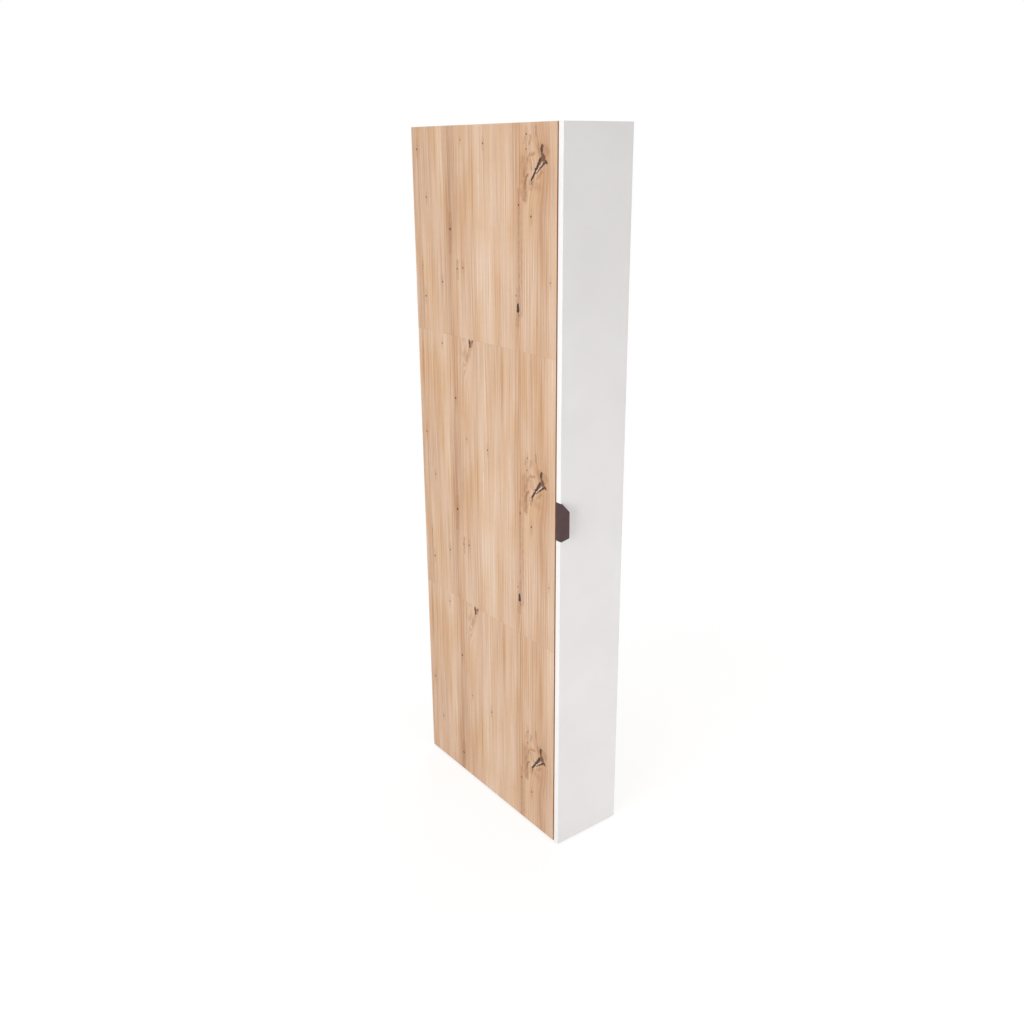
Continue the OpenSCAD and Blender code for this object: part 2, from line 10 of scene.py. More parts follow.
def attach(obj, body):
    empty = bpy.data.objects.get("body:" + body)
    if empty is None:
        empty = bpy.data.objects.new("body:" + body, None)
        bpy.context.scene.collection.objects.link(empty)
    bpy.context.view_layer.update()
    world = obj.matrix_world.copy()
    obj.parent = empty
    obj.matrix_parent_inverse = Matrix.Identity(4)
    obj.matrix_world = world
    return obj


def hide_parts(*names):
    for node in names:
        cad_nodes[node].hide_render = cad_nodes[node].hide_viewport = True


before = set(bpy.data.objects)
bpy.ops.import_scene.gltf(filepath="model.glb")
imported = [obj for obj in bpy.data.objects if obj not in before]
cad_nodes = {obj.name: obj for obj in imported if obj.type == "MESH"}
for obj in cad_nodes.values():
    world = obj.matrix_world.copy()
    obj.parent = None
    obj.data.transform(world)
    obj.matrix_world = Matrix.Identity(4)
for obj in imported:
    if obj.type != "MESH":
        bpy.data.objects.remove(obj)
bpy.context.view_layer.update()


# Side panels: two tall boards of 16 mm chipboard, faced with a paper decor of knotty oak
# whose grain is printed in lengths of 736 mm. Every other part of the carcass hangs on
# them. The boards themselves come from the CAD; their decor is drawn here.
def fill(tree, node, inputs):
    """Links or sets the inputs of a node, in order or by name."""
    pairs = inputs.items() if isinstance(inputs, dict) else enumerate(inputs)
    for key, value in pairs:
        if isinstance(value, bpy.types.NodeSocket):
            tree.links.new(value, node.inputs[key])
        elif value is not None:
            node.inputs[key].default_value = value


def add(tree, kind, inputs=(), out=0, **settings):
    """One output of a new node of a finish or of a shape."""
    node = tree.nodes.new(kind)
    for name, value in settings.items():
        setattr(node, name, value)
    fill(tree, node, inputs)
    return node.outputs[out]


def calc(tree, what, *values):
    """The result of one sum on numbers."""
    return add(tree, "ShaderNodeMath", values, operation=what)


def vector(tree, what, *values):
    """The result of one sum on places, which is a number for a length or a product."""
    out = 1 if what in ("LENGTH", "DISTANCE", "DOT_PRODUCT") else 0
    return add(tree, "ShaderNodeVectorMath", values, out, operation=what)


def apart(tree, place):
    """The three parts of a place or of a direction."""
    return add(tree, "ShaderNodeSeparateXYZ", [place]).node.outputs


def mapped(tree, value, low, high, start, end, **settings):
    """A number that goes from start to end while a value goes from low to high."""
    return add(tree, "ShaderNodeMapRange", [value, low, high, start, end], **settings)


def linear(*swatch):
    """A colour read off a swatch from 0 to 255, as the finishes take it."""
    parts = [c / 255 for c in swatch]
    return tuple(c / 12.92 if c <= 0.04045 else ((c + 0.055) / 1.055) ** 2.4 for c in parts) + (1.0,)


def tint(tree, share, under, over, way="MIX"):
    """The colour under, covered with a colour or swatch by a share of 0 to 1."""
    if isinstance(over, tuple):
        over = linear(*over)
    return add(tree, "ShaderNodeMix", {0: share, 6: under, 7: over}, 2, data_type="RGBA", blend_type=way)


def ramp(tree, share, stops):
    """A number or a swatch that follows share through stops of (place, value)."""
    node = tree.nodes.new("ShaderNodeValToRGB")
    line = node.color_ramp
    while len(line.elements) < len(stops):
        line.elements.new(0.5)
    for stop, (place, value) in zip(line.elements, stops):
        stop.position = place
        stop.color = linear(*value) if isinstance(value, tuple) else (value, value, value, 1)
    tree.links.new(share, node.inputs[0])
    return node.outputs[0]


def noise(tree, place, scale, detail, rough=0.5, out=0):
    """Even grain from 0 to 1, the finer the larger its scale."""
    return add(
        tree, "ShaderNodeTexNoise",
        {"Vector": place, "Scale": scale, "Detail": detail, "Roughness": rough}, out)


def cloud(tree, across, along, size, length, detail=3.0, rough=0.5, seed=0.0):
    """Uneven grain from 0 to 1, its spots size wide and length long, in millimetres."""
    across = calc(tree, "DIVIDE", across, size)
    along = calc(tree, "DIVIDE", along, length)
    spot = add(tree, "ShaderNodeCombineXYZ", [across, along, seed])
    return noise(tree, spot, 1.0, detail, rough)


def begun(name):
    """A new finish, its tree and the place on the piece."""
    finish = bpy.data.materials.new(name)
    finish.use_nodes = True
    return finish, finish.node_tree, add(finish.node_tree, "ShaderNodeTexCoord", out="Object")


def ended(tree, colour, roughness, height=None, strength=0.2, depth=0.0002, also=()):
    """Gives a finish its colour, roughness and relief, and also values of other sockets."""
    relief = None
    if height:
        relief = add(tree, "ShaderNodeBump", {"Strength": strength, "Distance": depth, "Height": height})
    shader = tree.nodes["Principled BSDF"]
    fill(tree, shader, {"Base Color": colour, "Roughness": roughness, "Normal": relief})
    fill(tree, shader, also)


def group(name, places, numbers, results):
    """An empty part of a finish, with the places and numbers it takes and its results."""
    tree = bpy.data.node_groups.new(name, "ShaderNodeTree")
    for side, names, kind in (
            ("INPUT", places, "Vector"), ("INPUT", numbers, "Float"), ("OUTPUT", results, "Float")):
        for socket in names.split():
            sort = "NodeSocket" + ("Color" if socket == "Color" else kind)
            tree.interface.new_socket(socket, in_out=side, socket_type=sort)
    return tree, tree.nodes.new("NodeGroupInput").outputs, tree.nodes.new("NodeGroupOutput")


def use(tree, part, inputs, out=0):
    """One use of a group in a finish."""
    return add(tree, "ShaderNodeGroup", inputs, out, node_tree=part)


def soft_edge(tree, away, soft):
    """Full cover up to no distance, and a smooth fall beyond it."""
    out = calc(tree, "DIVIDE", calc(tree, "MAXIMUM", away, 0.0), soft)
    return calc(tree, "EXPONENT", calc(tree, "MULTIPLY", calc(tree, "MULTIPLY", out, out), -2.5))


def drawn_mark():
    """A stroke of the decor print, from one point to another, which may grow narrower."""
    tree, given, made = group("drawn mark", "Place From To", "Start End Soft Share Under", "Cover")
    here = vector(tree, "SUBTRACT", given["Place"], given["From"])
    run = vector(tree, "SUBTRACT", given["To"], given["From"])
    whole = calc(tree, "MAXIMUM", vector(tree, "DOT_PRODUCT", run, run), 0.01)
    share = calc(tree, "DIVIDE", vector(tree, "DOT_PRODUCT", here, run), whole)
    share = calc(tree, "MINIMUM", calc(tree, "MAXIMUM", share, 0.0), 1.0)
    away = vector(tree, "DISTANCE", here, vector(tree, "SCALE", run, None, None, share))
    growth = calc(tree, "SUBTRACT", given["End"], given["Start"])
    half = calc(tree, "MULTIPLY_ADD", share, growth, given["Start"])
    cover = soft_edge(tree, calc(tree, "SUBTRACT", away, half), given["Soft"])
    cover = calc(tree, "MULTIPLY", cover, given["Share"])
    fill(tree, made, [calc(tree, "MAXIMUM", cover, given["Under"])])
    return tree


def pin_knot():
    """A pin knot of the print: a small dark eye with a brown halo along the grain."""
    tree, given, made = group("pin knot", "Place Middle", "Size Dark Brown", "Dark Brown")
    eye = vector(tree, "SUBTRACT", given["Place"], given["Middle"])
    halo = vector(tree, "MULTIPLY", eye, (0.42, 0.11, 0.0))
    for name, shape, share in (("Dark", eye, 0.85), ("Brown", halo, 0.22)):
        away = calc(tree, "SUBTRACT", vector(tree, "LENGTH", shape), given["Size"])
        cover = calc(tree, "MULTIPLY", soft_edge(tree, away, given["Size"]), share)
        fill(tree, made, {name: calc(tree, "MAXIMUM", cover, given[name])})
    return tree


def grain_swell():
    """How far the grain is pushed aside round a knot."""
    tree, given, made = group("grain swell", "Place Middle Reach", "Lift Others", "Shift")
    here = vector(tree, "SUBTRACT", given["Place"], given["Middle"])
    here = vector(tree, "DIVIDE", here, given["Reach"])
    fall = calc(tree, "MULTIPLY", vector(tree, "DOT_PRODUCT", here, here), -1.0)
    fall = calc(tree, "EXPONENT", fall)
    fill(tree, made, [calc(tree, "MULTIPLY_ADD", fall, given["Lift"], given["Others"])])
    return tree


DECOR_LENGTH_MM, DECOR_WIDTH_MM = 736.0, 600.0
DECOR_SEAM_MM = 559.0
WAVER_MM = 14.0
OAK_TONES = [
    (0.0, (165, 124, 97)), (0.28, (191, 152, 122)), (0.5, (212, 179, 152)), (0.72, (222, 195, 171)),
    (1.0, (232, 211, 192))]
TAN, GROWTH_LINE, SEAM, PORE = (245, 229, 203), (178, 128, 92), (150, 110, 84), (164, 112, 70)
KNOT_BROWN, KNOT_DARK, KNOT_PALE = (158, 110, 76), (56, 36, 32), (226, 198, 178)
# Lighter and darker bands of the decor, from the board's front edge to the back.
OAK_BANDS = [
    (0.0, 0.50), (0.06, 0.54), (0.10, 0.44), (0.13, 0.43), (0.16, 0.52), (0.22, 0.52), (0.248, 0.48),
    (0.258, 0.36), (0.268, 0.48), (0.31, 0.53), (0.36, 0.51), (0.39, 0.45), (0.42, 0.57), (0.48, 0.62),
    (0.535, 0.60), (0.555, 0.50), (0.60, 0.56), (0.66, 0.51), (0.69, 0.41), (0.728, 0.34), (0.75, 0.46),
    (0.78, 0.57), (0.84, 0.55), (0.88, 0.46), (0.92, 0.50), (0.96, 0.43), (0.99, 0.50)]
# Streaks of the decor: width and length, detail, weight and seed.
STREAKS = [
    (62, 520, 0.0, 0.30, 1.0), (18, 700, 1.0, 0.22, 2.0), (6.5, 560, 1.0, 0.26, 3.0),
    (2.5, 260, 1.0, 0.92, 4.0)]


def printed(tree, along):
    """The place along one length of the print, from its lower seam."""
    # Twenty lengths more keep the number above zero on every board.
    run = calc(tree, "ADD", along, 20 * DECOR_LENGTH_MM - DECOR_SEAM_MM)
    return calc(tree, "MODULO", run, DECOR_LENGTH_MM)


def oak_decor():
    """Printed oak: bands, streaks and pores that bend round knots, and the drawn knots."""
    tree, given, made = group(
        "oak decor", "", "Across Along Shift Brown Dark Light", "Color Roughness Height")
    wave = cloud(tree, given["Across"], given["Along"], size=110, length=800, detail=1.0, rough=0.55)
    wave = calc(tree, "MULTIPLY_ADD", wave, WAVER_MM, -WAVER_MM / 2)
    flow = calc(tree, "ADD", calc(tree, "ADD", given["Across"], given["Shift"]), wave)
    run = printed(tree, given["Along"])
    tone = ramp(tree, calc(tree, "DIVIDE", flow, DECOR_WIDTH_MM), OAK_BANDS)
    tone = add(tree, "ShaderNodeSeparateColor", [tone])
    for size, length, detail, weight, seed in STREAKS:
        streak = cloud(tree, flow, run, size, length, detail, seed=seed)
        tone = calc(tree, "ADD", tone, calc(tree, "MULTIPLY_ADD", streak, weight, -weight / 2))
    colour = ramp(tree, tone, OAK_TONES)
    # Tan patches, and growth lines that follow the grain round the knots.
    patch = cloud(tree, flow, run, size=58, length=240, detail=1.0, seed=6.0)
    colour = tint(tree, mapped(tree, patch, 0.40, 0.66, 0.0, 0.68), colour, TAN, "MULTIPLY")
    ring = cloud(tree, flow, run, size=110, length=1100, detail=1.0, seed=7.0)
    ring = calc(tree, "PINGPONG", calc(tree, "MULTIPLY", ring, 22.0), 0.5)
    ring = soft_edge(tree, ring, 0.14)
    bent = calc(tree, "MINIMUM", calc(tree, "MULTIPLY_ADD", given["Shift"], 0.035, 0.05), 0.45)
    colour = tint(tree, calc(tree, "MULTIPLY", ring, bent), colour, GROWTH_LINE)
    # The seam between two lengths, and the pores.
    colour = tint(tree, mapped(tree, run, 0.6, 1.6, 0.16, 0.0), colour, SEAM)
    pore = cloud(tree, flow, run, size=0.9, length=22, detail=2.0, seed=5.0)
    pore = mapped(tree, pore, 0.56, 0.70, 0.0, 1.0)
    colour = tint(tree, calc(tree, "MULTIPLY", pore, 0.18), colour, PORE)
    # The dark strokes have brown borders, as ink soaks into paper.
    mottle = cloud(tree, flow, run, size=4.5, length=14, detail=2.0, rough=0.6, seed=9.0)
    brown = calc(tree, "MULTIPLY", given["Brown"], calc(tree, "MULTIPLY_ADD", mottle, 2.4, -0.2))
    border = calc(tree, "MINIMUM", calc(tree, "MULTIPLY", given["Dark"], 1.2), 1.0)
    colour = tint(tree, calc(tree, "MAXIMUM", brown, border), colour, KNOT_BROWN)
    dark = calc(tree, "MULTIPLY", calc(tree, "POWER", given["Dark"], 2.0), 1.35)
    colour = tint(tree, calc(tree, "MINIMUM", dark, 1.0), colour, KNOT_DARK)
    colour = tint(tree, given["Light"], colour, KNOT_PALE)
    gloss = calc(tree, "MULTIPLY_ADD", tone, -0.10, 0.54)
    gloss = calc(tree, "MULTIPLY_ADD", pore, 0.12, gloss)
    height = calc(tree, "MULTIPLY_ADD", pore, -0.6, calc(tree, "MULTIPLY", tone, 0.5))
    fill(tree, made, {"Color": colour, "Roughness": gloss, "Height": height})
    return tree


MARK, PIN, SWELL, OAK = drawn_mark(), pin_knot(), grain_swell(), oak_decor()

# Strokes of the printed knots: across and along at each end, half width at each end,
# softness and cover, in millimetres from the knot's middle. Across runs from the door's
# face backwards and along runs upwards.
MAIN_KNOT = {
    "cracks": [
        (-12, 42, -10, 32, 2.6, 3.2, 2.2, 0.80), (-11, 41, -18, 41, 1.6, 1.4, 2.5, 0.50),
        (-10, 31, -13, 22, 2.4, 3.4, 2.6, 0.66), (-14, 23, -19, 16, 3.2, 4.4, 3.0, 0.70),
        (-13, 16, 3, -6, 5.0, 3.2, 3.0, 0.68), (-6, 14, 24, -29, 2.5, 1.5, 2.0, 0.90),
        (-25, 9, -27, 6, 2.8, 2.4, 2.2, 0.80), (-20, 7, 6, -15, 1.8, 0.9, 1.8, 0.80),
        (23, -30, 24, -38, 1.3, 1.1, 2.2, 0.62), (38, -17, 43, -24, 1.6, 1.6, 2.5, 0.50),
        (44, -24, 47, -38, 1.6, 1.4, 2.5, 0.55)],
    "slits": [(-13, 6, 5, -12, 1.2, 0.7, 1.1, 0.86)],
    "smears": [
        (-6, 37, -26, 30, 7, 7, 8, 0.36), (14, 26, 34, 22, 1.3, 1.5, 3, 0.50),
        (34, 22, 43, 6, 1.4, 1.6, 3.5, 0.46), (43, 6, 50, -8, 1.6, 2, 4, 0.50),
        (28, 62, 30, 46, 1.8, 2.2, 4, 0.42), (10, 80, 9, 62, 1.8, 1.6, 3, 0.45),
        (30, 12, 25, -6, 1.6, 2, 4, 0.36), (-12, -12, 4, -26, 1.4, 1.5, 4, 0.42),
        (49, -10, 49, -70, 3, 2.5, 10, 0.58), (53, 10, 54, -60, 7, 6, 14, 0.36),
        (30, -34, 30, -48, 2, 2, 5, 0.42), (52, 48, 45, 62, 1.1, 1.1, 4, 0.32),
        (16, -38, -2, -45, 4, 4, 10, 0.24)]}
EYE_KNOT = {
    "cracks": [
        (0, 7, 0, -7, 2.0, 3.2, 3, 0.95), (7, 28, 7, 27, 1.4, 1.4, 2, 0.60),
        (-3, -17, -3, -19, 1.6, 1.2, 3, 0.50)],
    "slits": [],
    "smears": [(0, -16, 2, -38, 5, 3, 8, 0.35), (0, 12, 0, 44, 4, 1.5, 6, 0.30)]}
WEDGE_KNOT = {
    "cracks": [(6, 7, 4, -8, 3.2, 1.8, 2.5, 0.78), (-9, 8, 3, 3, 1.4, 2.6, 2.5, 0.55)],
    "slits": [],
    "smears": [
        (-5, 6, 2, -4, 3, 3, 4, 0.80), (8, -14, 22, -44, 1.0, 1.0, 5, 0.35),
        (4, -10, 10, -30, 3, 2, 8, 0.30)]}
# The knots and where their middles lie in each length of the print, and brown lines of
# their own.
KNOTS = [(MAIN_KNOT, 84, 415), (EYE_KNOT, 160, 101), (WEDGE_KNOT, 355, 724)]
LINES = [
    (157, 365, 155, 125, 1.0, 1.0, 3.0, 0.48), (147, 295, 146, 143, 0.8, 0.8, 3.0, 0.40),
    (152, 330, 152, 90, 5, 6, 9, 0.30), (435, 300, 438, 208, 1.2, 1.6, 5.0, 0.44),
    (404, 190, 405, 145, 0.8, 0.8, 4.0, 0.45)]
# Pin knots: across, along the print and half width.
PINS = [
    (435, 264, 2.4), (430, 573, 2.0), (111, 308, 1.6), (156, 331, 1.5), (408, 170, 1.4), (383, 174, 1.4),
    (476, 132, 1.6), (557, 88, 1.8), (486, 709, 1.4), (577, 452, 1.6), (127, 481, 1.3), (383, 472, 1.0),
    (291, 463, 1.4), (42, 169, 1.0), (567, 165, 1.0), (128, 450, 1.2), (539, 337, 1.4)]
# Places where the grain swells: across, along the print, reach across and along, and lift.
SWELLS = [(90, 409, 34, 62, 24), (160, 88, 14, 70, 9), (373, 700, 17, 78, 25), (434, 249, 12, 60, 6)]
# The knots' edges are ragged by so much, in waves of about eight millimetres.
RAGGED_MM, RAGGED_SCALE = 9.0, 0.12
# The inner faces and the right panel show other parts of the print. Below the lower seam
# the print lies lower on the board, the more the lower it is, up to a most.
INNER_FACE = 0.092
INNER_SHIFT_MM, RIGHT_SHIFT_MM = 2 * DECOR_LENGTH_MM / 5, -DECOR_LENGTH_MM / 4
LOW_SHARE, LOW_MOST_MM = 0.08, 28.0
MM_IN_M = 1000.0


def drawn(tree, place, strokes, cover=0.0):
    """Strokes laid over each other and over what is covered already."""
    for x0, z0, x1, z1, start, end, soft, share in strokes:
        cover = use(tree, MARK, [place, (x0, z0, 0), (x1, z1, 0), start, end, soft, share, cover])
    return cover


def of_knots(kind):
    """All the knots' strokes of one kind, at their places in the print."""
    return [
        (u + a, z + b, u + c, z + d, *rest)
        for knot, u, z in KNOTS for a, b, c, d, *rest in knot[kind]]


def print_marks(tree, x_mm, z_mm):
    """What the knots, pin knots and brown lines do to the decor."""
    spot = add(tree, "ShaderNodeCombineXYZ", [x_mm, printed(tree, z_mm), 0.0])
    ragged = noise(tree, spot, RAGGED_SCALE, detail=3.0, out=1)
    ragged = vector(tree, "SUBTRACT", ragged, (0.5, 0.5, 0.5))
    ragged = vector(tree, "MULTIPLY", ragged, (RAGGED_MM, RAGGED_MM, 0.0))
    rough_spot = vector(tree, "ADD", spot, ragged)
    shift, dark, brown = 0.0, 0.0, 0.0
    for u, z, reach_u, reach_z, lift in SWELLS:
        shift = use(tree, SWELL, [spot, (u, z, 0), (reach_u, reach_z, 1), lift, shift])
    for u, z, size in PINS:
        dark, brown = use(tree, PIN, [spot, (u, z, 0), size, dark, brown]).node.outputs
    brown = drawn(tree, spot, LINES, brown)
    return {
        "Shift": shift,
        "Brown": drawn(tree, rough_spot, of_knots("smears"), brown),
        "Dark": drawn(tree, rough_spot, of_knots("cracks"), dark),
        "Light": drawn(tree, rough_spot, of_knots("slits"))}


def chipboard(tree, place):
    """Pressed wood chips, as the boards' raw edges show them."""
    chips = add(tree, "ShaderNodeTexVoronoi", {"Vector": place, "Scale": 420.0}, 1, distance="MANHATTAN")
    return ramp(tree, add(tree, "ShaderNodeSeparateColor", [chips]), [
        (0.0, (150, 114, 84)), (0.35, (190, 152, 118)), (0.7, (208, 175, 142)), (1.0, (226, 200, 172))])


def board_finish(name, faces, across, along, marked=False):
    """Oak decor on the two broad faces of a board and chipboard on its raw edges.

    faces is the axis through the broad faces. across and along are the axes across and
    along the grain, each with the millimetres to add to it. Only marked boards have knots."""
    finish, tree, place = begun(name)
    split = apart(tree, place)
    side = apart(tree, add(tree, "ShaderNodeTexCoord", out="Normal"))[faces]
    x_mm = calc(tree, "MULTIPLY_ADD", split[across[0]], MM_IN_M, across[1])
    z_mm = calc(tree, "MULTIPLY_ADD", split[along[0]], MM_IN_M, along[1])
    marks = {}
    if marked:
        inside = calc(tree, "LESS_THAN", calc(tree, "ABSOLUTE", split[0]), INNER_FACE)
        right = calc(tree, "GREATER_THAN", split[0], 0.0)
        z_mm = calc(tree, "MULTIPLY_ADD", inside, INNER_SHIFT_MM, z_mm)
        z_mm = calc(tree, "MULTIPLY_ADD", right, RIGHT_SHIFT_MM, z_mm)
        low = calc(tree, "MULTIPLY_ADD", z_mm, -LOW_SHARE, LOW_SHARE * DECOR_SEAM_MM)
        low = calc(tree, "MINIMUM", calc(tree, "MAXIMUM", low, 0.0), LOW_MOST_MM)
        z_mm = calc(tree, "ADD", z_mm, low)
        marks = print_marks(tree, x_mm, z_mm)
    oak = use(tree, OAK, {"Across": x_mm, "Along": z_mm} | marks).node.outputs
    edge = calc(tree, "LESS_THAN", calc(tree, "ABSOLUTE", side), 0.5)
    colour = tint(tree, edge, oak["Color"], chipboard(tree, place))
    gloss = calc(tree, "MULTIPLY_ADD", edge, 0.3, oak["Roughness"])
    ended(
        tree, colour, gloss, oak["Height"], strength=0.25, depth=0.0003,
        also={"Specular IOR Level": 0.35})
    return finish


def finished(names, finish):
    """Gives CAD pieces that stay as they are their finish."""
    for name in names:
        mesh = cad_nodes[name].data
        mesh.materials.clear()
        mesh.materials.append(finish)


DOOR_FACE_MM = 288.167
side_oak = board_finish("knotty_oak_sides", 0, (1, DOOR_FACE_MM), (2, 0.0), marked=True)
finished(["left_side_panel", "right_side_panel"], side_oak)


# Edge strips: thin bands of the same decor, a shade darker, glued on the front edges of
# the side panels, the three fixed boards and the loose shelves, and trimmed flush.
def weighed(tree, first, share, second):
    """Two grains put together, the first by a share of 0 to 1 and the second by the rest."""
    return calc(tree, "MULTIPLY_ADD", first, share, calc(tree, "MULTIPLY", second, 1 - share))


def strip_finish(name, along):
    """Plain oak band with fine streaks along its length."""
    finish, tree, place = begun(name)
    split = apart(tree, place)
    run = calc(tree, "MULTIPLY", split[along], MM_IN_M)
    across = calc(tree, "MULTIPLY", split[2 if along == 0 else 0], MM_IN_M)
    wide = cloud(tree, across, run, size=5.0, length=240, detail=2.0, seed=1.0)
    fine = cloud(tree, across, run, size=0.9, length=60, rough=0.6, seed=2.0)
    colour = ramp(tree, weighed(tree, wide, 0.6, fine), [
        (0.25, (166, 113, 74)), (0.5, (196, 146, 102)), (0.75, (212, 166, 124))])
    ended(tree, colour, calc(tree, "MULTIPLY_ADD", fine, 0.15, 0.42), fine)
    return finish


LOOSE_SHELVES = (1, 2, 3, 4)
finished(["left_side_strip", "right_side_strip"], strip_finish("oak_band_upright", 2))
finished(
    ["top_panel_strip", "bottom_panel_strip", "middle_shelf_strip"]
    + [f"loose_shelf_strip_{k}" for k in LOOSE_SHELVES],
    strip_finish("oak_band_level", 0))


# Fixed boards: bottom, middle and top, of the same board as the sides, with the grain
# running from front to back. They are doweled and cammed between the side panels.
level_oak = board_finish("knotty_oak_level", 2, (0, 1000.0), (1, 900.0))
finished(["top_panel", "bottom_panel", "middle_shelf"], level_oak)


# Loose shelves: four boards of the same chipboard and decor as the fixed ones, a little
# narrower, so that they lie free on their pins and can be taken out.
finished([f"loose_shelf_{k}" for k in LOOSE_SHELVES], level_oak)


# Back panel: a 3 mm sheet of pressed fibre, lacquered white on the inside and bare brown
# on the rear, let into a step of the side panels and screwed there.
def between(tree, share, deep, pale):
    """A colour between two swatches, which changes most in the middle of the share."""
    return ramp(tree, share, [(0.35, deep), (0.65, pale)])


def back_finish():
    """White lacquer inside, bare pressed fibre on the rear and the edges."""
    finish, tree, place = begun("back_sheet")
    side = apart(tree, add(tree, "ShaderNodeTexCoord", out="Normal"))[1]
    fibre = noise(tree, place, scale=900.0, detail=5.0, rough=0.7)
    patch = noise(tree, place, scale=14.0, detail=3.0)
    bare = ramp(tree, weighed(tree, patch, 0.35, fibre), [
        (0.3, (118, 84, 54)), (0.5, (146, 108, 72)), (0.7, (171, 132, 92))])
    white = between(tree, patch, (232, 231, 228), (238, 237, 234))
    inner = calc(tree, "LESS_THAN", side, -0.5)
    ended(tree, tint(tree, inner, bare, white), calc(tree, "MULTIPLY_ADD", inner, -0.35, 0.78), fibre)
    return finish


finished(["back_panel"], back_finish())


# Dowels and cam bolts: turned beech pins and zinc-plated bolts that hold the fixed boards
# between the side panels. They lie inside the boards.
def beech_finish():
    """Pale beech with short dark flecks along the dowel."""
    finish, tree, place = begun("beech")
    split = apart(tree, place)
    run = calc(tree, "MULTIPLY", split[0], MM_IN_M)
    across = calc(tree, "MULTIPLY", calc(tree, "ADD", split[1], split[2]), MM_IN_M)
    fleck = cloud(tree, across, run, size=0.7, length=6, rough=0.6, seed=3.0)
    colour = ramp(tree, fleck, [(0.3, (176, 134, 92)), (0.5, (208, 170, 124)), (0.7, (224, 192, 148))])
    ended(tree, colour, calc(tree, "MULTIPLY_ADD", fleck, 0.2, 0.5))
    return finish


def metal_finish(name, bright, dull, gloss, brush_scale):
    """Plated or cast metal whose tone and gloss vary a little."""
    finish, tree, place = begun(name)
    patch = noise(tree, place, scale=120.0, detail=3.0)
    brushed = vector(tree, "MULTIPLY", place, (1.0, 1.0, 0.06))
    brush = noise(tree, brushed, brush_scale, detail=3.0, rough=0.6)
    colour = between(tree, weighed(tree, patch, 0.6, brush), dull, bright)
    gloss = calc(tree, "MULTIPLY_ADD", brush, 0.22, gloss)
    ended(tree, colour, gloss, brush, strength=0.15, depth=0.00005, also={"Metallic": 1.0})
    return finish


zinc = metal_finish("zinc_plate", (205, 207, 210), (176, 178, 182), gloss=0.24, brush_scale=2600.0)
cast_zinc = metal_finish("cast_zinc", (188, 189, 190), (158, 159, 161), gloss=0.38, brush_scale=1500.0)
nickel = metal_finish("nickel_plate", (214, 210, 204), (188, 184, 178), gloss=0.16, brush_scale=3000.0)
finished(["dowels"], beech_finish())
finished(["cam_bolts"], zinc)


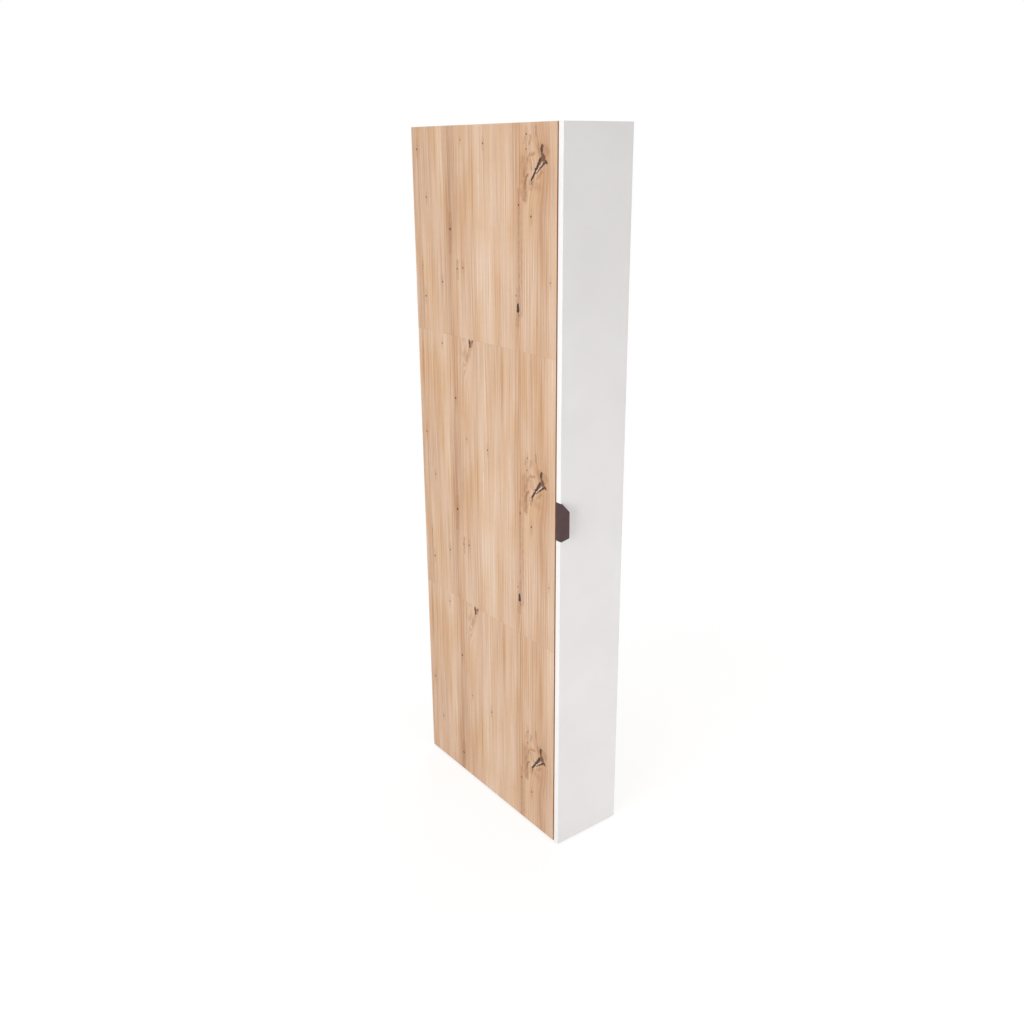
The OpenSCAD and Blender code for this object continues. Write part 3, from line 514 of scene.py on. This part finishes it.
# Cam housings: round zinc castings pressed into the fixed boards from below, each with a
# raised rim and a crossed slot. A quarter turn draws the bolt in. The shelf pins, screws,
# floor glides and bumper dots below are made like them, as one outline spun round an axis.
def spun_shape(name, sizes, outline, steps=32, cross=None):
    """A shape tree that spins an outline of (radius, height, cross share) rows.

    Radius and height are sums of the named sizes: {"size": factor}. A row with a cross
    share follows a crossed slot instead of a circle. The shape stands on every point of
    the mesh that it is given, along the point's aim."""
    tree = bpy.data.node_groups.new(name, "GeometryNodeTree")
    tree.interface.new_socket("Points", in_out="INPUT", socket_type="NodeSocketGeometry")
    for size, value in sizes.items():
        socket = tree.interface.new_socket(size, in_out="INPUT", socket_type="NodeSocketFloat")
        socket.default_value = value
    socket = tree.interface.new_socket("Seed", in_out="INPUT", socket_type="NodeSocketInt")
    socket.default_value = 7
    tree.interface.new_socket("Finish", in_out="INPUT", socket_type="NodeSocketMaterial")
    tree.interface.new_socket("Parts", in_out="OUTPUT", socket_type="NodeSocketGeometry")
    given, made = tree.nodes.new("NodeGroupInput").outputs, tree.nodes.new("NodeGroupOutput")

    def total(parts):
        value = 0.0
        for size, factor in parts.items():
            value = calc(tree, "MULTIPLY_ADD", given[size], factor, value)
        return value

    net = add(tree, "GeometryNodeMeshGrid", [1.0, 1.0, steps + 1, len(outline)])
    place = apart(tree, add(tree, "GeometryNodeInputPosition"))
    turn = calc(tree, "MULTIPLY", calc(tree, "ADD", place[0], 0.5), math.tau)
    row = calc(tree, "MULTIPLY", calc(tree, "ADD", place[1], 0.5), float(len(outline) - 1))
    row = calc(tree, "ROUND", row)
    rows = [(total(wide), total(high), *(share or [0.0])) for wide, high, *share in outline]
    picked = []
    for column in zip(*rows):
        pick = tree.nodes.new("GeometryNodeIndexSwitch")
        pick.data_type = "FLOAT"
        while len(pick.index_switch_items) < len(outline):
            pick.index_switch_items.new()
        fill(tree, pick, [row, *column])
        picked.append(pick.outputs[0])
    radius, height, share = picked
    if cross:
        folded = calc(tree, "ADD", turn, math.pi / 4)
        folded = calc(tree, "SUBTRACT", calc(tree, "MODULO", folded, math.pi / 2), math.pi / 4)
        folded = calc(tree, "MAXIMUM", calc(tree, "ABSOLUTE", calc(tree, "SINE", folded)), 0.001)
        arm = calc(tree, "DIVIDE", total({cross[1]: 0.5}), folded)
        arm = calc(tree, "MULTIPLY", calc(tree, "MINIMUM", arm, total({cross[0]: 0.5})), share)
        radius = calc(tree, "ADD", radius, arm)
    ring = add(tree, "ShaderNodeCombineXYZ", [
        calc(tree, "MULTIPLY", radius, calc(tree, "COSINE", turn)),
        calc(tree, "MULTIPLY", radius, calc(tree, "SINE", turn)), height])
    body = add(tree, "GeometryNodeSetPosition", {"Geometry": net, "Position": ring})
    body = add(tree, "GeometryNodeMergeByDistance", {"Geometry": body, "Distance": 0.000002})
    sharp = calc(tree, "GREATER_THAN", add(tree, "GeometryNodeInputMeshEdgeAngle"), math.radians(32))
    body = add(
        tree, "GeometryNodeSetShadeSmooth",
        {"Geometry": body, "Selection": sharp, "Shade Smooth": False}, domain="EDGE")
    aim = add(tree, "GeometryNodeInputNamedAttribute", {"Name": "aim"}, data_type="FLOAT_VECTOR")
    facing = add(tree, "FunctionNodeAlignRotationToVector", {"Vector": aim}, axis="Z")
    spin = add(
        tree, "FunctionNodeRandomValue", {2: 0.0, 3: math.tau, "Seed": given["Seed"]}, 1,
        data_type="FLOAT")
    spin = add(tree, "FunctionNodeAxisAngleToRotation", {"Axis": (0.0, 0.0, 1.0), "Angle": spin})
    facing = add(tree, "FunctionNodeRotateRotation", [facing, spin], rotation_space="LOCAL")
    parts = add(
        tree, "GeometryNodeInstanceOnPoints",
        {"Points": given["Points"], "Instance": body, "Rotation": facing})
    parts = add(tree, "GeometryNodeRealizeInstances", [parts])
    parts = add(tree, "GeometryNodeSetMaterial", {"Geometry": parts, "Material": given["Finish"]})
    fill(tree, made, [parts])
    return tree


def stood(name, data):
    """A new object in the scene."""
    thing = bpy.data.objects.new(name, data)
    bpy.context.scene.collection.objects.link(thing)
    return thing


def settled(holder):
    """The plain mesh that a helper object's modifiers make of it; the helper goes."""
    seen = holder.evaluated_get(bpy.context.evaluated_depsgraph_get())
    made = bpy.data.meshes.new_from_object(seen)
    bpy.data.objects.remove(holder)
    return made


def placed(name, mesh, replaced, body):
    """A finished mesh as a piece of the cabinet, with its faces turned outwards."""
    work = bmesh.new()
    work.from_mesh(mesh)
    bmesh.ops.recalc_face_normals(work, faces=work.faces)
    work.to_mesh(mesh)
    work.free()
    piece = stood(name, mesh)
    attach(piece, body)
    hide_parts(*replaced)
    return piece


def fitted(name, replaced, body, slot, tree, finish, spots, **sizes):
    """Small parts at spots of (place, aim) in millimetres, as one piece for their nodes."""
    mesh = bpy.data.meshes.new(name)
    mesh.from_pydata([[c / MM_IN_M for c in place] for place, aim in spots], [], [])
    aims = mesh.attributes.new("aim", "FLOAT_VECTOR", "POINT")
    for k, (place, aim) in enumerate(spots):
        aims.data[k].vector = aim
    holder = stood(name + ".points", mesh)
    shape = holder.modifiers.new("parts", "NODES")
    shape.node_group = tree
    values = sizes | {"finish": finish}
    for item in tree.interface.items_tree:
        size = item.name.replace(" ", "_").lower()
        if item.in_out == "INPUT" and size in values:
            shape[item.identifier] = values[size]
    return placed(name, settled(holder), replaced, body)


WIDTH_IN_MM = 84.0
FRONT_MM, REAR_MM = -268.167, 308.833
BOARD_UNDERSIDES_MM = (4.0, 894.0, 1784.0)
CAM_ROW_MM, CAM_REACH_MM = 66.0, 24.0

cam_shape = spun_shape(
    "cam housing",
    {"Radius": 0.0075, "Height": 0.0124, "Rim": 0.0009, "Sink": 0.0005, "Slot length": 0.0082,
     "Slot width": 0.0021, "Slot depth": 0.0022},
    [({}, {"Slot depth": 1}), ({}, {"Slot depth": 1}, 0.8), ({}, {"Sink": 1}, 1.0),
     ({"Radius": 1, "Rim": -1.4}, {"Sink": 1}), ({"Radius": 1, "Rim": -1}, {}),
     ({"Radius": 1, "Rim": -0.25}, {}), ({"Radius": 1}, {"Rim": 0.25}),
     ({"Radius": 1}, {"Height": 1, "Rim": -0.3}), ({"Radius": 1, "Rim": -0.3}, {"Height": 1}),
     ({}, {"Height": 1})],
    cross=("Slot length", "Slot width"))
fitted(
    "cam_housing_set", ["cam_housings"], "carcass", "cam_zinc", cam_shape, cast_zinc,
    [((s * (WIDTH_IN_MM - CAM_REACH_MM), y, z), (0, 0, 1))
     for z in BOARD_UNDERSIDES_MM for y in (FRONT_MM + CAM_ROW_MM, REAR_MM - CAM_ROW_MM)
     for s in (-1, 1)])


# Shelf pins: nickel-plated steel pins with a rounded end and a turned groove, pushed into
# the side panels, four under each loose shelf.
SHELVES_MM = (300.667, 597.333, 1190.667, 1487.333)
PIN_ROW_MM, PIN_IN_MM, PIN_RADIUS_MM = 52.0, 9.0, 2.5

pin_shape = spun_shape(
    "shelf pin",
    {"Radius": PIN_RADIUS_MM / MM_IN_M, "Length": 0.017, "Groove": 0.0004, "Seat": 0.009},
    [({}, {"Length": 1}), ({"Radius": 0.55}, {"Length": 1}),
     ({"Radius": 0.88}, {"Length": 1, "Groove": -1.2}), ({"Radius": 1}, {"Length": 1, "Groove": -3}),
     ({"Radius": 1}, {"Seat": 1, "Groove": 5}), ({"Radius": 1, "Groove": -1}, {"Seat": 1, "Groove": 4}),
     ({"Radius": 1, "Groove": -1}, {"Seat": 1, "Groove": 2}), ({"Radius": 1}, {"Seat": 1, "Groove": 1}),
     ({"Radius": 1}, {"Groove": 1}), ({"Radius": 1, "Groove": -1}, {}), ({}, {})],
    steps=24)
fitted(
    "shelf_pin_set", ["shelf_pins"], "carcass", "plated_steel", pin_shape, nickel,
    [((s * (WIDTH_IN_MM + PIN_IN_MM), y, z - PIN_RADIUS_MM), (-s, 0, 0))
     for z in SHELVES_MM for y in (FRONT_MM + PIN_ROW_MM, REAR_MM - PIN_ROW_MM) for s in (-1, 1)])


# Back panel screws: small zinc-plated screws with crossed slots, their heads flush with
# the rear of the back panel, seven along each side.
BACK_SCREWS, BACK_SCREW_X_MM, BACK_SCREW_IN_MM = 7, 88.0, 2.4
BACK_SCREW_LOW_MM, BACK_SCREW_STEP_MM = 44.0, 286.0

screw_shape = spun_shape(
    "crossed screw",
    {"Head": 0.007, "Height": 0.0016, "Shank": 0.0035, "Reach": 0.011, "Slot length": 0.0042,
     "Slot width": 0.0011, "Slot depth": 0.0009},
    [({}, {"Height": -1, "Slot depth": 1.1}), ({}, {"Height": -1, "Slot depth": 1}, 0.55),
     ({}, {"Height": -1}, 1.0), ({"Head": 0.36}, {"Height": -1}), ({"Head": 0.43}, {"Height": -0.88}),
     ({"Head": 0.48}, {"Height": -0.58}), ({"Head": 0.5}, {"Height": -0.25}), ({"Head": 0.5}, {}),
     ({"Shank": 0.5}, {}), ({"Shank": 0.5}, {"Reach": 0.8}), ({"Shank": 0.1}, {"Reach": 1}),
     ({}, {"Reach": 1})],
    cross=("Slot length", "Slot width"))
fitted(
    "back_panel_screw_set", ["back_panel_screws"], "carcass", "plated_steel", screw_shape, zinc,
    [((s * BACK_SCREW_X_MM, REAR_MM + BACK_SCREW_IN_MM, BACK_SCREW_LOW_MM + k * BACK_SCREW_STEP_MM),
      (0, -1, 0)) for s in (-1, 1) for k in range(BACK_SCREWS)],
    head=0.003, height=0.0006, shank=0.0024, reach=0.0124, slot_length=0.0019, slot_width=0.0005,
    slot_depth=0.0005)


# Floor glides: four round grey plastic feet 4 mm high with a bevelled foot ring and a
# sunk screw each, under the bottom board. They keep the cabinet off the floor.
def plastic_finish(name, deep, pale, gloss, grain_scale=1400.0):
    """Moulded plastic with a fine even grain."""
    finish, tree, place = begun(name)
    grain = noise(tree, place, grain_scale, detail=2.0)
    patch = noise(tree, place, scale=60.0, detail=2.0)
    colour = between(tree, weighed(tree, patch, 0.7, grain), deep, pale)
    ended(tree, colour, calc(tree, "MULTIPLY_ADD", grain, 0.15, gloss), grain, depth=0.0001)
    return finish


GLIDE_X_MM, GLIDE_ROW_MM, GLIDE_SEAT_MM = 62.0, 30.0, 2.0
LONG_SCREW = 0.012
glide_shape = spun_shape(
    "floor glide",
    {"Radius": 0.012, "Height": 0.004, "Bevel": 0.001, "Seat": GLIDE_SEAT_MM / MM_IN_M,
     "Seat radius": 0.00375, "Bore": 0.002},
    [({"Bore": 1}, {"Height": 1}), ({"Radius": 1}, {"Height": 1}), ({"Radius": 1}, {"Bevel": 1}),
     ({"Radius": 1, "Bevel": -0.3}, {"Bevel": 0.3}), ({"Radius": 1, "Bevel": -1}, {}),
     ({"Seat radius": 1, "Bevel": 0.3}, {}), ({"Seat radius": 1}, {"Bevel": 0.3}),
     ({"Seat radius": 1}, {"Seat": 1}), ({"Bore": 1}, {"Seat": 1}), ({"Bore": 1}, {"Height": 1})],
    steps=48)
glide_spots = [
    ((s * GLIDE_X_MM, y, 0), (0, 0, 1))
    for y in (FRONT_MM + GLIDE_ROW_MM, REAR_MM - GLIDE_ROW_MM) for s in (-1, 1)]
fitted(
    "floor_glide_set", [f"floor_glide_{k}" for k in (1, 2, 3, 4)], "carcass", "glide_plastic",
    glide_shape, plastic_finish("glide_grey", (96, 97, 99), (118, 119, 121), gloss=0.42), glide_spots)
fitted(
    "glide_screw_set", ["glide_screws"], "carcass", "plated_steel", screw_shape, zinc,
    [((x, y, GLIDE_SEAT_MM), aim) for (x, y, z), aim in glide_spots], reach=LONG_SCREW)


# Wall bracket: a steel angle with rolled edges under the top board at the back, for the
# screw that keeps the tall cabinet from tipping, and the two screws that hold it.
def smooth_mesh(name, work):
    """A plain mesh of what was worked out, its faces shaded smoothly."""
    for face in work.faces:
        face.smooth = True
    mesh = bpy.data.meshes.new(name)
    work.to_mesh(mesh)
    work.free()
    return mesh


def rounded(mesh, edge, steps, finish):
    """A mesh with its sharp edges rounded by edge metres and its finish on."""
    holder = stood("plain", mesh)
    round_off = holder.modifiers.new("rounding", "BEVEL")
    round_off.width, round_off.segments = edge, steps
    round_off.limit_method, round_off.angle_limit = "ANGLE", math.radians(40)
    round_off.harden_normals = True
    made = settled(holder)
    made.materials.clear()
    made.materials.append(finish)
    return made


def softened(name, replaced, body, finish, edge, steps=3):
    """A CAD piece as a copy with its sharp edges rounded."""
    work = bmesh.new()
    work.from_mesh(cad_nodes[replaced].data)
    bmesh.ops.remove_doubles(work, verts=work.verts, dist=0.000001)
    bmesh.ops.dissolve_limit(work, angle_limit=math.radians(1), verts=work.verts, edges=work.edges)
    mesh = rounded(smooth_mesh(name, work), edge, steps, finish)
    return placed(name, mesh, [replaced], body)


WALL_SCREW_X_MM, WALL_SCREW_IN_MM, WALL_SCREW_Z_MM = 7.5, 28.0, 1782.0
STEEL_ROUND = 0.0004
softened("wall_angle", "wall_bracket", "carcass", zinc, STEEL_ROUND)
fitted(
    "wall_angle_screws", ["wall_bracket_screws"], "carcass", "plated_steel", screw_shape, zinc,
    [((s * WALL_SCREW_X_MM, REAR_MM - WALL_SCREW_IN_MM, WALL_SCREW_Z_MM), (0, 0, 1)) for s in (-1, 1)],
    reach=LONG_SCREW)


# Hinge plates and arms: pressed nickel-plated steel. Each plate is screwed inside the
# right side panel; its arm is clamped on it and reaches past the edge into the cup.
HINGES_MM = (109.813, 683.5, 1120.5, 1694.187)
ARM_ROUND = 0.00035
SEAT_SCREW_X_MM, SEAT_SCREW_IN_MM, SEAT_SCREW_UP_MM = 81.5, 37.0, 16.0
CLAMP_SCREW_X_MM, CLAMP_SCREW_IN_MM = 72.5, 55.0
BIG_HEAD = {"head": 0.0076, "shank": 0.004, "slot_length": 0.0046}

for k in (1, 2, 3, 4):
    softened(f"hinge_seat_{k}", f"hinge_plate_{k}", "carcass", nickel, STEEL_ROUND)
    softened(f"hinge_channel_{k}", f"hinge_arm_{k}", "carcass", nickel, ARM_ROUND)
fitted(
    "hinge_seat_screws", ["hinge_plate_screws"], "carcass", "plated_steel", screw_shape, zinc,
    [((SEAT_SCREW_X_MM, FRONT_MM + SEAT_SCREW_IN_MM, z + s * SEAT_SCREW_UP_MM), (1, 0, 0))
     for z in HINGES_MM for s in (-1, 1)],
    reach=0.0125, **BIG_HEAD)
fitted(
    "hinge_channel_screws", ["hinge_clamp_screws"], "carcass", "cam_zinc", screw_shape, cast_zinc,
    [((CLAMP_SCREW_X_MM, FRONT_MM + CLAMP_SCREW_IN_MM, z), (1, 0, 0)) for z in HINGES_MM],
    reach=0.0115, **BIG_HEAD)


# Door: one 16 mm board lacquered white on all sides, with a 1 mm white strip glued round
# its edges and slightly rounded there. Its back is bored for the cups and screws.
def white_finish(name, swatch, gloss):
    """Satin white lacquer with a faint orange-peel surface."""
    finish, tree, place = begun(name)
    patch = noise(tree, place, scale=9.0, detail=3.0)
    peel = noise(tree, place, scale=700.0, detail=2.0)
    deep = tuple(c - 4 for c in swatch)
    colour = between(tree, weighed(tree, patch, 0.7, peel), deep, swatch)
    gloss = calc(tree, "MULTIPLY_ADD", patch, 0.10, gloss)
    ended(tree, colour, gloss, peel, strength=0.08, depth=0.0001)
    return finish


STRIP_ROUND = 0.0004
door_white = white_finish("door_white", (241, 238, 237), gloss=0.36)
strip_white = white_finish("strip_white", (243, 241, 240), gloss=0.32)
finished(["door_panel"], door_white)
for side in ("left", "right", "top", "bottom"):
    softened(
        f"door_edge_{side}", f"door_strip_{side}", "door", strip_white, STRIP_ROUND,
        steps=2)


# Hinge cups and pins: deep-drawn nickel-plated cups in the door's back, each with a
# flange and two screws, and a riveted pin across it on which the arm's eye turns.
CUP_ROUND = 0.0003
CUP_SCREW_X_MM, CUP_FLANGE_MM, CUP_SCREW_UP_MM = 70.0, -270.967, 22.5

for k in (1, 2, 3, 4):
    softened(f"hinge_bowl_{k}", f"hinge_cup_{k}", "door", nickel, CUP_ROUND, steps=2)
finished(["hinge_pins"], cast_zinc)
fitted(
    "hinge_bowl_screws", ["hinge_cup_screws"], "door", "plated_steel", screw_shape, zinc,
    [((CUP_SCREW_X_MM, CUP_FLANGE_MM, z + s * CUP_SCREW_UP_MM), (0, -1, 0))
     for z in HINGES_MM for s in (-1, 1)],
    reach=0.0112)


# Handle: 2 mm sheet steel, bent twice and powder-coated dark brown. One leg is screwed
# behind the door, the middle is let into the door's edge, and the lip with cut corners
# stands out in front and leans inwards.
HANDLE_SHEET, HANDLE_MIDDLE, HANDLE_HALF = 0.002, 0.910, 0.048
LIP_LENGTH, LIP_LEAN, LIP_CUT, LIP_ROUND, LIP_PLAIN = 0.0245, math.radians(15), 0.015, 0.0025, 0.003
LEG_MM, LEG_LENGTH, BEND_INSIDE, DOOR_EDGE = -270.167, 0.034, 0.0007, -0.1
RIM, SHEET_ROUND = 0.003, 0.0004
HANDLE_SCREW_X_MM, HANDLE_SCREW_UP_MM = -74.0, 32.0


def bent_sheet(corners, thick, bend):
    """Pairs of outer and inner points along a sheet bent at its corners."""
    pairs = []
    for k, corner in enumerate(corners):
        back = (corner - corners[k - 1]).normalized() if k else None
        ahead = (corners[k + 1] - corner).normalized() if k + 1 < len(corners) else None
        if back is None or ahead is None:
            run = ahead or back
            pairs.append((corner, corner + thick * Vector((run.y, -run.x))))
            continue
        turn = back.angle(ahead)
        radius = bend + thick
        start = corner - back * radius * math.tan(turn / 2)
        middle = start + radius * Vector((back.y, -back.x))
        for step in range(7):
            out = Matrix.Rotation(-turn * step / 6, 2) @ Vector((-back.y, back.x))
            pairs.append((middle + out * radius, middle + out * bend))
    return pairs


def lip_half_height(s):
    """Half the height of the lip at a distance s from the door's edge."""
    round_s, round_h = LIP_LENGTH - LIP_ROUND, HANDLE_HALF - LIP_CUT - 0.6 * LIP_ROUND
    run, fall = round_s - LIP_PLAIN, round_h - HANDLE_HALF
    lean = math.atan2(fall, run) + math.asin(LIP_ROUND / math.hypot(run, fall))
    touch = round_s - LIP_ROUND * math.sin(lean)
    if s <= LIP_PLAIN:
        return HANDLE_HALF
    if s <= touch:
        return HANDLE_HALF + (s - LIP_PLAIN) * math.tan(lean)
    return round_h + math.sqrt(max(LIP_ROUND ** 2 - (s - round_s) ** 2, 0.0))


def handle_mesh():
    """The bent sheet as one closed shell, its lip with cut and rounded corners."""
    edge = Vector((DOOR_EDGE, -DOOR_FACE_MM / MM_IN_M))
    lip_end = edge + LIP_LENGTH * Vector((math.sin(LIP_LEAN), -math.cos(LIP_LEAN)))
    back = Vector((DOOR_EDGE, LEG_MM / MM_IN_M))
    corners = [lip_end, edge, back, back + Vector((LEG_LENGTH, 0))]
    pairs = bent_sheet(corners, HANDLE_SHEET, BEND_INSIDE)
    # Rows lie close together at the rounded corner and evenly along the cut.
    steps = [LIP_LENGTH - LIP_ROUND * (1 - math.cos(math.radians(a))) for a in (0, 12, 24, 36, 48)]
    steps += [0.0205, 0.0175, 0.0145, 0.0115, 0.0085, 0.0055, 0.0032]
    tip, tip_in = pairs[0]
    towards = (edge - lip_end).normalized()
    line = []
    for s in steps:
        way = towards * (LIP_LENGTH - s)
        line.append((tip + way, tip_in + way, lip_half_height(s)))
    line += [(outer, inner, HANDLE_HALF) for outer, inner in pairs[1:]]
    work = bmesh.new()
    rows = []
    for outer, inner, half in line:
        rows.append([
            work.verts.new((p.x, p.y, HANDLE_MIDDLE + s * h))
            for p, s, h in (
                (outer, -1, half), (outer, -1, half - RIM), (outer, 1, half - RIM), (outer, 1, half),
                (inner, 1, half), (inner, 1, half - RIM), (inner, -1, half - RIM), (inner, -1, half))])
    for here, there in zip(rows, rows[1:]):
        for k in range(8):
            work.faces.new((here[k], here[(k + 1) % 8], there[(k + 1) % 8], there[k]))
    for end in (rows[0], rows[-1]):
        for a, b, c, d in ((0, 1, 6, 7), (1, 2, 5, 6), (2, 3, 4, 5)):
            work.faces.new((end[a], end[b], end[c], end[d]))
    bmesh.ops.recalc_face_normals(work, faces=work.faces)
    return smooth_mesh("handle", work)


def coated_brown():
    """Powder coat: fine grains and faint patches, with a soft sheen."""
    finish, tree, place = begun("powder_coat_brown")
    grain = noise(tree, place, scale=1900.0, detail=3.0, rough=0.6)
    patch = noise(tree, place, scale=70.0, detail=2.0)
    colour = between(tree, weighed(tree, grain, 0.6, patch), (64, 43, 43), (76, 54, 54))
    gloss = calc(tree, "MULTIPLY_ADD", grain, 0.2, 0.42)
    ended(tree, colour, gloss, grain, strength=0.3, depth=0.0001, also={"Specular IOR Level": 0.3})
    return finish


handle_sheet = rounded(handle_mesh(), SHEET_ROUND, 3, coated_brown())
placed("pull_handle", handle_sheet, ["door_handle"], "door")
fitted(
    "pull_handle_screws", ["handle_screws"], "door", "plated_steel", screw_shape, zinc,
    [((HANDLE_SCREW_X_MM, LEG_MM, HANDLE_MIDDLE * MM_IN_M + s * HANDLE_SCREW_UP_MM), (0, -1, 0))
     for s in (-1, 1)],
    reach=LONG_SCREW)


# Bumper dots: two soft clear-white rubber dots stuck on the door's back, which meet the
# left side panel's edge when the door is shut.
DOOR_BACK_MM, BUMPER_X_MM, BUMPERS_MM = -272.167, -92.0, (29.0, 1775.0)

bumper_shape = spun_shape(
    "bumper dot",
    {"Radius": 0.005, "Height": 0.0039},
    [({}, {}), ({"Radius": 1}, {}), ({"Radius": 1}, {"Height": 0.35}),
     ({"Radius": 0.94}, {"Height": 0.62}), ({"Radius": 0.78}, {"Height": 0.84}),
     ({"Radius": 0.5}, {"Height": 0.97}), ({"Radius": 0.22}, {"Height": 1}), ({}, {"Height": 1})],
    steps=28)
bumper_white = plastic_finish(
    "bumper_rubber", (222, 222, 220), (234, 234, 232), gloss=0.28, grain_scale=600.0)
fitted(
    "bumper_dot_pair", ["door_bumpers"], "door", "bumper_rubber", bumper_shape, bumper_white,
    [((BUMPER_X_MM, DOOR_BACK_MM, z), (0, 1, 0)) for z in BUMPERS_MM])


# Setting: a white floor and nothing else, soft daylight from all round with a broad lamp
# at the left, a lower one in front, a weaker one behind on the right and a small one above,
# and the camera at the photograph's place.
WHITE = (1.0, 1.0, 1.0, 1.0)
FLOOR_PAINT, FLOOR_LIT, FLOOR_REACH = 0.87, 0.63, 60
# How much of the floor's shadow is seen near the cabinet, and where that starts to fade
# and ends.
SHADOW_SEEN, SHADOW_FROM, SHADOW_TO = 0.35, 0.6, 2.4
ROOM_LIGHT = 0.45


def seen_directly(tree):
    """1 for what the camera, a mirror or glass shows, and 0 for light on its way."""
    seen = add(tree, "ShaderNodeLightPath").node.outputs
    through = calc(tree, "MAXIMUM", seen["Is Glossy Ray"], seen["Is Transmission Ray"])
    return calc(tree, "MAXIMUM", seen["Is Camera Ray"], through)


def floor_finish():
    """White floor whose shadow stays soft and faint and which ends in plain white."""
    finish, tree, place = begun("studio_floor")
    away = vector(tree, "LENGTH", place)
    near = mapped(
        tree, away, SHADOW_FROM, SHADOW_TO, SHADOW_SEEN, 0.0, interpolation_type="SMOOTHSTEP")
    direct = seen_directly(tree)
    # What is seen of the floor is near parts of paint, lit as it lies, and white for the rest.
    far = calc(tree, "MULTIPLY", direct, calc(tree, "SUBTRACT", 1.0, near))
    paint = ramp(tree, calc(tree, "SUBTRACT", 1.0, far), [(0.0, 0.0), (1.0, FLOOR_PAINT)])
    paint = add(tree, "ShaderNodeBsdfDiffuse", [paint])
    rest = calc(tree, "MULTIPLY", direct, calc(tree, "MULTIPLY_ADD", near, -FLOOR_LIT, 1.0))
    both = add(tree, "ShaderNodeAddShader", [paint, add(tree, "ShaderNodeEmission", [WHITE, rest])])
    fill(tree, tree.nodes["Material Output"], [both])
    tree.nodes.remove(tree.nodes["Principled BSDF"])
    return finish


floor_mesh = bpy.data.meshes.new("floor")
floor_mesh.from_pydata(
    [(x * FLOOR_REACH, y * FLOOR_REACH, 0) for x, y in ((-1, -1), (1, -1), (1, 1), (-1, 1))],
    [], [(0, 1, 2, 3)])
floor_mesh.materials.append(floor_finish())
floor = stood("floor", floor_mesh)

room = bpy.data.worlds.new("room")
bpy.context.scene.world = room
room.use_nodes = True
tree = room.node_tree
tree.nodes.clear()
level = calc(tree, "MULTIPLY_ADD", seen_directly(tree), 1 - ROOM_LIGHT, ROOM_LIGHT)
sky = add(tree, "ShaderNodeBackground", [WHITE, level])
fill(tree, tree.nodes.new("ShaderNodeOutputWorld"), [sky])


def lamp(name, place, target, width, height, watts):
    """A broad soft lamp that looks at a point."""
    light = bpy.data.lights.new(name, "AREA")
    light.shape, light.size, light.size_y, light.energy = "RECTANGLE", width, height, watts
    stand = stood(name, light)
    stand.location = place
    stand.rotation_mode = "QUATERNION"
    stand.rotation_quaternion = (Vector(target) - Vector(place)).to_track_quat("-Z", "Y")
    stand.visible_camera = False


MIDDLE = (0.0, 0.0, 0.9)
lamp("left_lamp", (-4.2, -1.2, 1.5), MIDDLE, width=3.0, height=3.0, watts=115.0)
lamp("front_lamp", (0.5, -2.75, 0.25), (0.0, -0.288, 0.5), width=1.4, height=0.5, watts=15.0)
lamp("rear_lamp", (3.4, 3.2, 1.4), MIDDLE, width=3.0, height=3.0, watts=100.0)
lamp("top_lamp", (0.0, 0.0, 3.4), (0.0, 0.0, 1.8), width=0.8, height=0.8, watts=11.0)

# The photograph's camera: its place, its direction, turn and dip, its slight roll, the
# distance in pixels that its lens makes of one unit at unit distance, and the row of the
# picture that lies straight ahead.
EYE = (-1.5175, -1.9826, 1.7418)
TURN, DIP, ROLL = math.radians(36.97), math.radians(-18.73), math.radians(-0.461)
FOCUS_PX, AHEAD_PX, FRAME_PX = 1000.8, 490, 1024
ahead = Vector((math.sin(TURN) * math.cos(DIP), math.cos(TURN) * math.cos(DIP), math.sin(DIP)))
level_right = ahead.cross(Vector((0, 0, 1))).normalized()
level_up = level_right.cross(ahead)
right = level_right * math.cos(ROLL) + level_up * math.sin(ROLL)
up = level_up * math.cos(ROLL) - level_right * math.sin(ROLL)
camera = stood("camera", bpy.data.cameras.new("camera"))
camera.matrix_world = Matrix.Translation(EYE) @ Matrix((right, up, -ahead)).transposed().to_4x4()
camera.data.sensor_width = 36.0
camera.data.lens = FOCUS_PX / FRAME_PX * camera.data.sensor_width
camera.data.shift_y = (AHEAD_PX - FRAME_PX / 2) / FRAME_PX
camera.data.clip_start, camera.data.clip_end = 0.05, 200.0
bpy.context.scene.camera = camera
bpy.context.scene.view_settings.view_transform = "Standard"
